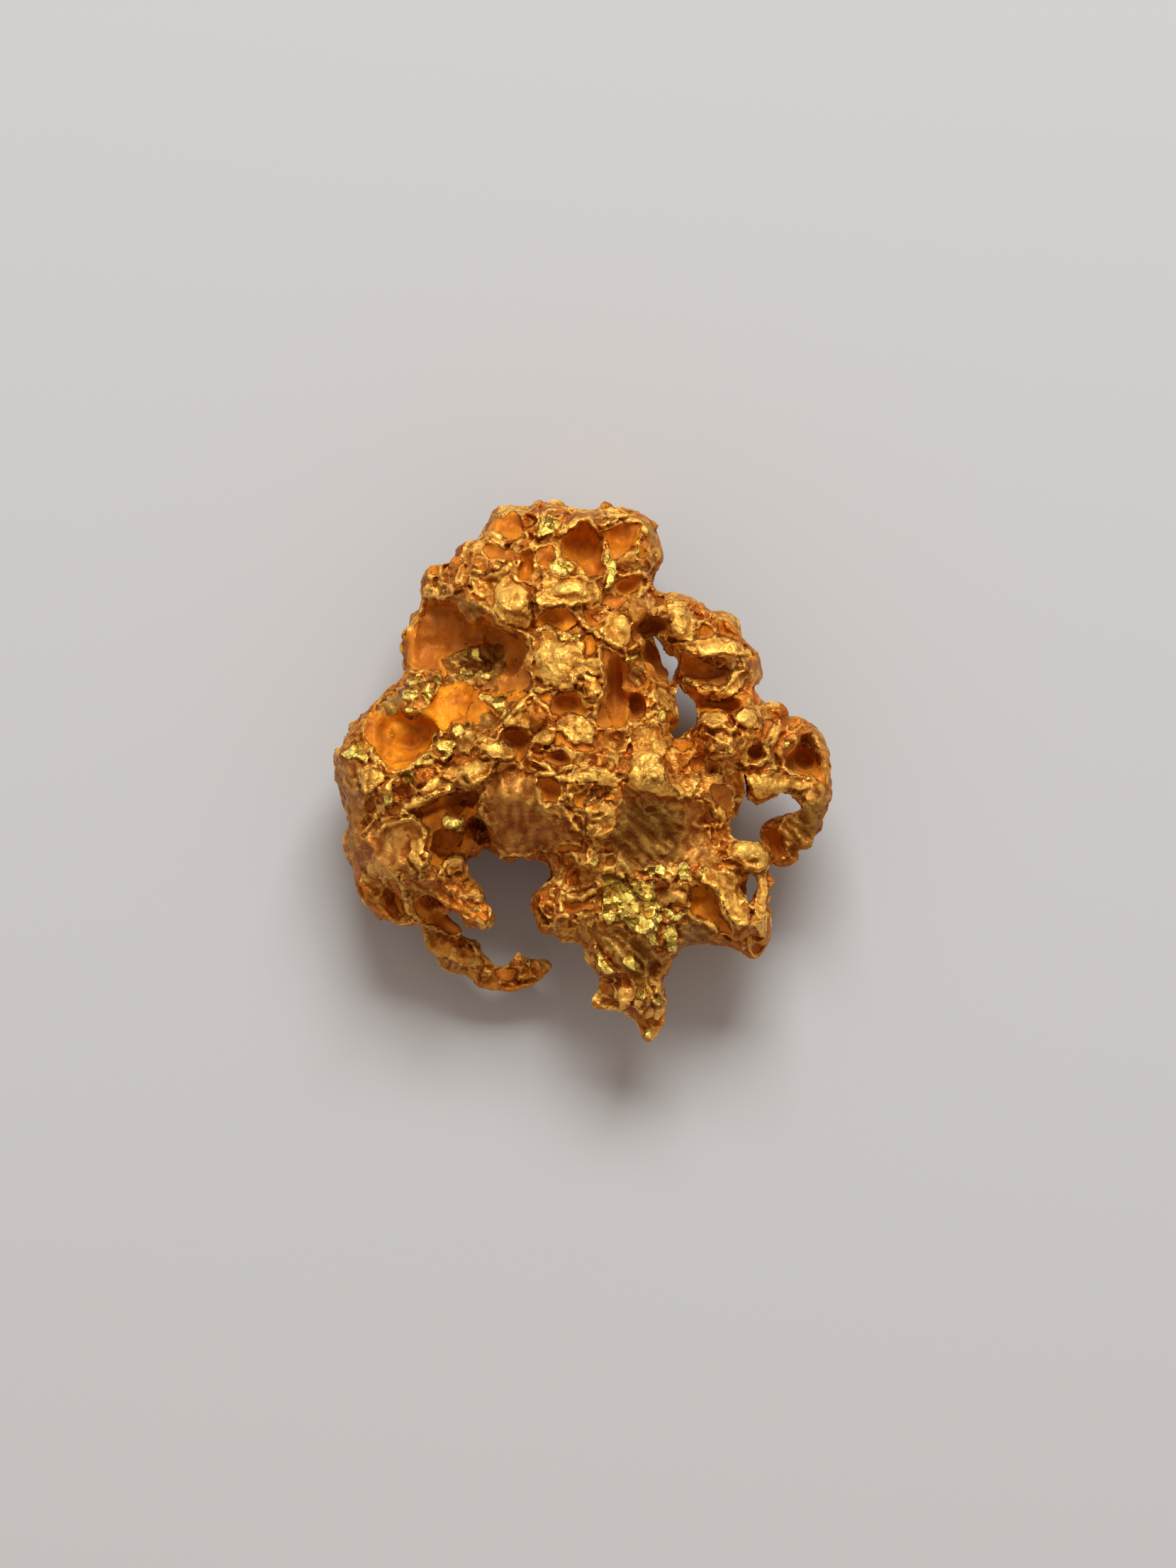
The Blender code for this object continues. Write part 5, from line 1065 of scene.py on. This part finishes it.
class Desk:
    """Places and joins nodes in one node tree."""

    def __init__(self, tree):
        self.tree = tree

    def node(self, kind, inputs=(), **values):
        """A node with these settings, its inputs joined or set."""
        made = self.tree.nodes.new("ShaderNode" + kind)
        for key, value in values.items():
            setattr(made, key, value)
        self.feed(made, dict(inputs))
        return made

    def feed(self, made, inputs):
        for key, value in inputs.items():
            if isinstance(value, bpy.types.NodeSocket):
                self.tree.links.new(value, made.inputs[key])
            else:
                made.inputs[key].default_value = value

    def mix(self, share, first, second, way="MIX"):
        """Two colours mixed."""
        return self.node("Mix", {0: share, 6: first, 7: second}, data_type="RGBA", blend_type=way).outputs[2]

    def blend(self, share, first, second):
        """Two plain values mixed."""
        return self.node("Mix", {0: share, 2: first, 3: second}, data_type="FLOAT").outputs[0]

    def math(self, operation, first, second, clamp):
        made = self.node("Math", {0: first, 1: second}, operation=operation, use_clamp=clamp)
        return made.outputs[0]

    def plus(self, first, second):
        return self.math("ADD", first, second, False)

    def minus(self, first, second, clamp=False):
        return self.math("SUBTRACT", first, second, clamp)

    def times(self, first, second, clamp=False):
        return self.math("MULTIPLY", first, second, clamp)

    def most(self, first, second):
        return self.math("MAXIMUM", first, second, False)

    def above(self, value, start, gain):
        """0 up to the start, then rising to 1 at this gain."""
        return self.times(self.minus(value, start), gain, True)

    def vector(self, operation, first, second, output="Vector"):
        return self.node("VectorMath", {0: first, 1: second}, operation=operation).outputs[output]

    def mark(self, name):
        return self.node("Attribute", attribute_name=name).outputs["Fac"]

    def crisp_mark(self, name, ragged):
        """A mark with a sharp, slightly ragged edge."""
        shifted = self.plus(self.mark(name), self.times(self.minus(ragged, 0.5), 0.6))
        return self.above(shifted, 0.42, 6.0)

    def noise(self, place, scale, detail=3.0, rough=0.5, output="Fac"):
        inputs = {"Vector": place, "Scale": scale, "Detail": detail, "Roughness": rough}
        return self.node("TexNoise", inputs).outputs[output]

    def cells(self, place, scale, feature="F1"):
        return self.node("TexVoronoi", {"Vector": place, "Scale": scale}, feature=feature).outputs

    def facets(self, place, scale):
        """The height of flat tilted flakes, and their own tone."""
        found = self.cells(place, scale)
        lean = self.vector("SUBTRACT", found["Color"], (0.5, 0.5, 0.5))
        across = self.vector("SUBTRACT", place, found["Position"])
        tone = self.node("SeparateColor", {0: found["Color"]}).outputs[0]
        return self.vector("DOT_PRODUCT", lean, across, "Value"), tone

    def seams(self, place, scale, gain):
        """1 along the seams between the flakes."""
        edge = self.cells(place, scale, "DISTANCE_TO_EDGE")["Distance"]
        return self.minus(1.0, self.times(edge, gain, True), True)


OCHRE = (0.49, 0.175, 0.02, 1), (0.70, 0.335, 0.05, 1)
# Deeper orange of sunken places: partly stain, partly painted reflected light.
SUNK_OCHRE_AND_PAINTED_BOUNCE = (0.58, 0.20, 0.02, 1)
LIGHT_OCHRE = (0.88, 0.51, 0.11, 1)
ORANGE_BROWN = (0.50, 0.14, 0.011, 1)
# Brown of smooth flanks and walls: painted shade.
FLANK_SHADE_BROWN = (0.46, 0.21, 0.042, 1)
OLIVE_BROWN = (0.34, 0.185, 0.035, 1)
# Pale gold of plates, and painted highlight along lips and rims.
PALE_GOLD_AND_RIM_HIGHLIGHT = (0.85, 0.48, 0.09, 1)
# Orange of the hollows: partly stain, partly painted reflected light.
ORANGE = (0.46, 0.12, 0.006, 1), (0.88, 0.31, 0.009, 1)
BLOTCH_BROWN = (0.38, 0.12, 0.014, 1)
SHADE_BROWN = (0.46, 0.15, 0.024, 1)
# Foil shards: bright ones are painted glints, dark ones painted shade.
GLINT_AND_SHADE_SHARDS = (1.0, 0.79, 0.16, 1), (0.34, 0.21, 0.025, 1)
# Multipliers for painted shade in creases and painted highlight on crests.
CREASE_SHADE_AND_CREST_HIGHLIGHT = (0.60, 0.38, 0.22, 1), (1.10, 1.10, 1.10, 1)
# Dark brown of seams and edge lines: painted shade.
SEAM_SHADE_BROWN = (0.16, 0.05, 0.008, 1)
WHITE = (1.0, 1.0, 1.0, 1)
PLATES_A_METRE = 1350.0
SHARDS_A_METRE = 2300.0
CHIPS_A_METRE = 4200.0


def gold_material():
    material = bpy.data.materials.new("natural gold")
    material.use_nodes = True
    desk = Desk(material.node_tree)
    place = desk.node("TexCoord").outputs["Object"]
    ragged = desk.noise(place, CHIPS_A_METRE, rough=0.6)
    hollow, foil, pale, line = (desk.crisp_mark(name, ragged) for name in ("hollow", "foil", "pale", "line"))
    olive, dark, smooth, crest, sunk = map(desk.mark, ("olive", "dark", "smooth", "crest", "sunk"))
    patches = desk.noise(place, 900.0)
    sway = desk.vector("SUBTRACT", desk.noise(place, 1800.0, 2.0, output="Color"), (0.5, 0.5, 0.5))
    bent = desk.vector("ADD", place, desk.vector("MULTIPLY", sway, (0.0009, 0.0009, 0.0009)))
    foil_place = desk.vector("MULTIPLY", bent, (1.0, 0.7, 1.0))
    plate_height, plate_tone = desk.facets(bent, PLATES_A_METRE)
    chip_height, chip_tone = desk.facets(desk.vector("MULTIPLY", bent, (0.5, 1.0, 1.0)), CHIPS_A_METRE)
    shard_height, shard_tone = desk.facets(foil_place, SHARDS_A_METRE)
    combed = desk.noise(desk.vector("MULTIPLY", bent, (1.0, 0.3, 1.0)), 1900.0, rough=0.6)
    rough_skin = desk.minus(1.0, desk.most(hollow, foil), True)

    # Skin: ochre plates, some paler, over an orange-brown ground; deeper orange in sunken places, partly
    # painted reflected light; brown painted shade on smooth flanks; pale plates, with painted highlights
    # along lips and rims.
    light_plate = desk.times(desk.minus(0.34, plate_tone), 12.0, True)
    colour = desk.mix(patches, *OCHRE)
    for mask, share, coat in ((sunk, 0.6, SUNK_OCHRE_AND_PAINTED_BOUNCE), (light_plate, 0.7, LIGHT_OCHRE),
                              (desk.above(plate_tone, 0.63, 12.0), 0.8, ORANGE_BROWN),
                              (smooth, 0.75, FLANK_SHADE_BROWN), (olive, 0.8, OLIVE_BROWN), (pale, 0.9, PALE_GOLD_AND_RIM_HIGHLIGHT)):
        colour = desk.mix(desk.times(mask, share), colour, coat)

    # Hollows: orange, partly stain and partly painted reflected light, blotched with brown, and darkened with
    # painted shade where they are deep. Foil: shards painted as bright glints, with shards painted in shade
    # between them.
    orange = desk.mix(desk.above(patches, 0.3, 2.5), *ORANGE)
    orange = desk.mix(desk.times(desk.above(combed, 0.52, 9.0), 0.6), orange, BLOTCH_BROWN)
    colour = desk.mix(hollow, colour, orange)
    colour = desk.mix(dark, colour, SHADE_BROWN)
    colour = desk.mix(foil, colour, desk.mix(desk.above(shard_tone, 0.76, 14.0), *GLINT_AND_SHADE_SHARDS))

    # Painted shade in creases and painted highlight on crests, chips each of their own tone, and seams and
    # edge lines darkened with painted shade.
    crease_shade_and_crest_highlight = desk.mix(desk.times(hollow, 0.7), desk.mix(crest, *CREASE_SHADE_AND_CREST_HIGHLIGHT), WHITE)
    tinted = desk.mix(1.0, colour, crease_shade_and_crest_highlight, "MULTIPLY")
    tone = desk.times(desk.minus(chip_tone, 0.5), desk.times(rough_skin, 0.3))
    toned = desk.node("HueSaturation", {"Color": tinted, "Value": desk.plus(1.0, tone)})
    # Seams between plates and foil shards are darkened with painted shade.
    seams = desk.times(desk.seams(bent, PLATES_A_METRE, 16.0), desk.above(patches, 0.42, 8.0))
    foil_seams = desk.seams(foil_place, SHARDS_A_METRE, 13.0)
    shade = desk.times(seams, desk.times(rough_skin, 0.6))
    shade = desk.most(shade, desk.times(foil_seams, desk.times(foil, 0.8)))
    shade = desk.most(shade, desk.times(line, 0.9))

    # Fine relief: plates and chips, less of them where it is worn, ripples in the hollows, shards.
    settled = desk.minus(1.0, desk.times(desk.most(smooth, olive), 0.6))
    skin = desk.times(desk.plus(desk.times(chip_height, 0.5), plate_height), rough_skin)
    skin = desk.times(desk.times(skin, settled), 0.7)
    ripples = desk.times(desk.times(combed, 0.0001), hollow)
    shards = desk.times(shard_height, desk.times(foil, 1.1))
    height = desk.plus(desk.plus(skin, ripples), shards)
    bump = desk.node("Bump", {"Strength": 1.0, "Distance": 1.0, "Height": height})

    desk.feed(material.node_tree.nodes["Principled BSDF"], {
        "Base Color": desk.mix(shade, toned.outputs["Color"], SEAM_SHADE_BROWN),
        "Metallic": desk.blend(foil, desk.blend(hollow, 0.42, 0.22), 0.25),
        "Roughness": desk.blend(foil, desk.blend(hollow, 0.48, 0.55), 0.28),
        "Specular IOR Level": 0.12,
        "Normal": bump.outputs["Normal"]})
    return material


def dress_nugget():
    dice = random.Random(SEED)
    face = UpperFace()
    body = blank_from_node("nugget")
    face.find_edge(surface_of(body))
    ball = Ball()
    beads = ball.scattered(body, (0.22, 0.6), -1.1, 0.2, -0.6, dice)
    add_to(body, ball.gathered("beads", beads + ball.placed(LUMPS)))
    pits = ball.scattered(body, (0.12, 0.7), -0.95, 0.25, 0.25, dice)
    carve(body, ball.gathered("pits", pits + ball.placed(SCOOPS)))
    press_upper_face(body, face)
    open_gaps(body)
    sharpen_upper_face(body, face)
    crumple_sides(body)
    keep_largest(body)
    thin_out(body)
    mark_finish(body, face)
    body.name = body.data.name = "gold_nugget"
    body.data.transform(Matrix.Scale(MM, 4))
    body.data.materials.clear()
    body.data.materials.append(gold_material())
    only_select(body)
    bpy.ops.object.shade_smooth_by_angle(angle=math.radians(40))
    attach(body, "root")
    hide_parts("nugget")


# ==== Setting: pale sheet, soft light, and the view from straight above ====

def paper():
    bpy.ops.object.select_all(action="DESELECT")
    bpy.ops.mesh.primitive_plane_add(size=2.0, location=(0, 0, 0))
    sheet = bpy.context.object
    sheet.name = "floor"
    material = bpy.data.materials.new("pale paper")
    material.use_nodes = True
    Desk(material.node_tree).feed(material.node_tree.nodes["Principled BSDF"], {
        "Base Color": (0.48, 0.475, 0.47, 1), "Roughness": 0.85, "Specular IOR Level": 0.2})
    sheet.data.materials.append(material)


def lighting():
    """A warm room, and one cool window beyond the top lobe."""
    window_place = Vector((0.04, 0.36, 0.36))
    nugget_middle = Vector((0, 0, 0.004))
    world = bpy.data.worlds.new("studio")
    bpy.context.scene.world = world
    world.use_nodes = True
    Desk(world.node_tree).feed(world.node_tree.nodes["Background"], {
        "Color": (1.0, 0.84, 0.74, 1), "Strength": 0.48})
    data = bpy.data.lights.new("window", "AREA")
    data.shape = "RECTANGLE"
    data.size, data.size_y = 0.30, 0.20
    data.energy = 3.3
    data.color = (0.93, 0.97, 1.0)
    lamp = linked("window", data)
    lamp.location = window_place
    lamp.rotation_euler = (nugget_middle - window_place).to_track_quat("-Z", "Y").to_euler()


def camera():
    """Looks straight down from far off, with 33 pixels of the frame to a millimetre."""
    frame_pixels = 2212
    pixels_a_millimetre = 33
    aim_x, aim_y, aim_z = 0.000227, -0.0004545, 0.0045
    data = bpy.data.cameras.new("camera")
    data.lens = 215.0
    data.clip_start = 0.01
    data.clip_end = 10.0
    eye = linked("camera", data)
    frame_height = frame_pixels / pixels_a_millimetre * MM
    distance = data.lens / data.sensor_width * frame_height
    eye.location = (aim_x, aim_y, distance + aim_z)
    bpy.context.scene.camera = eye


dress_nugget()
paper()
lighting()
camera()
bpy.context.scene.view_settings.view_transform = "Standard"
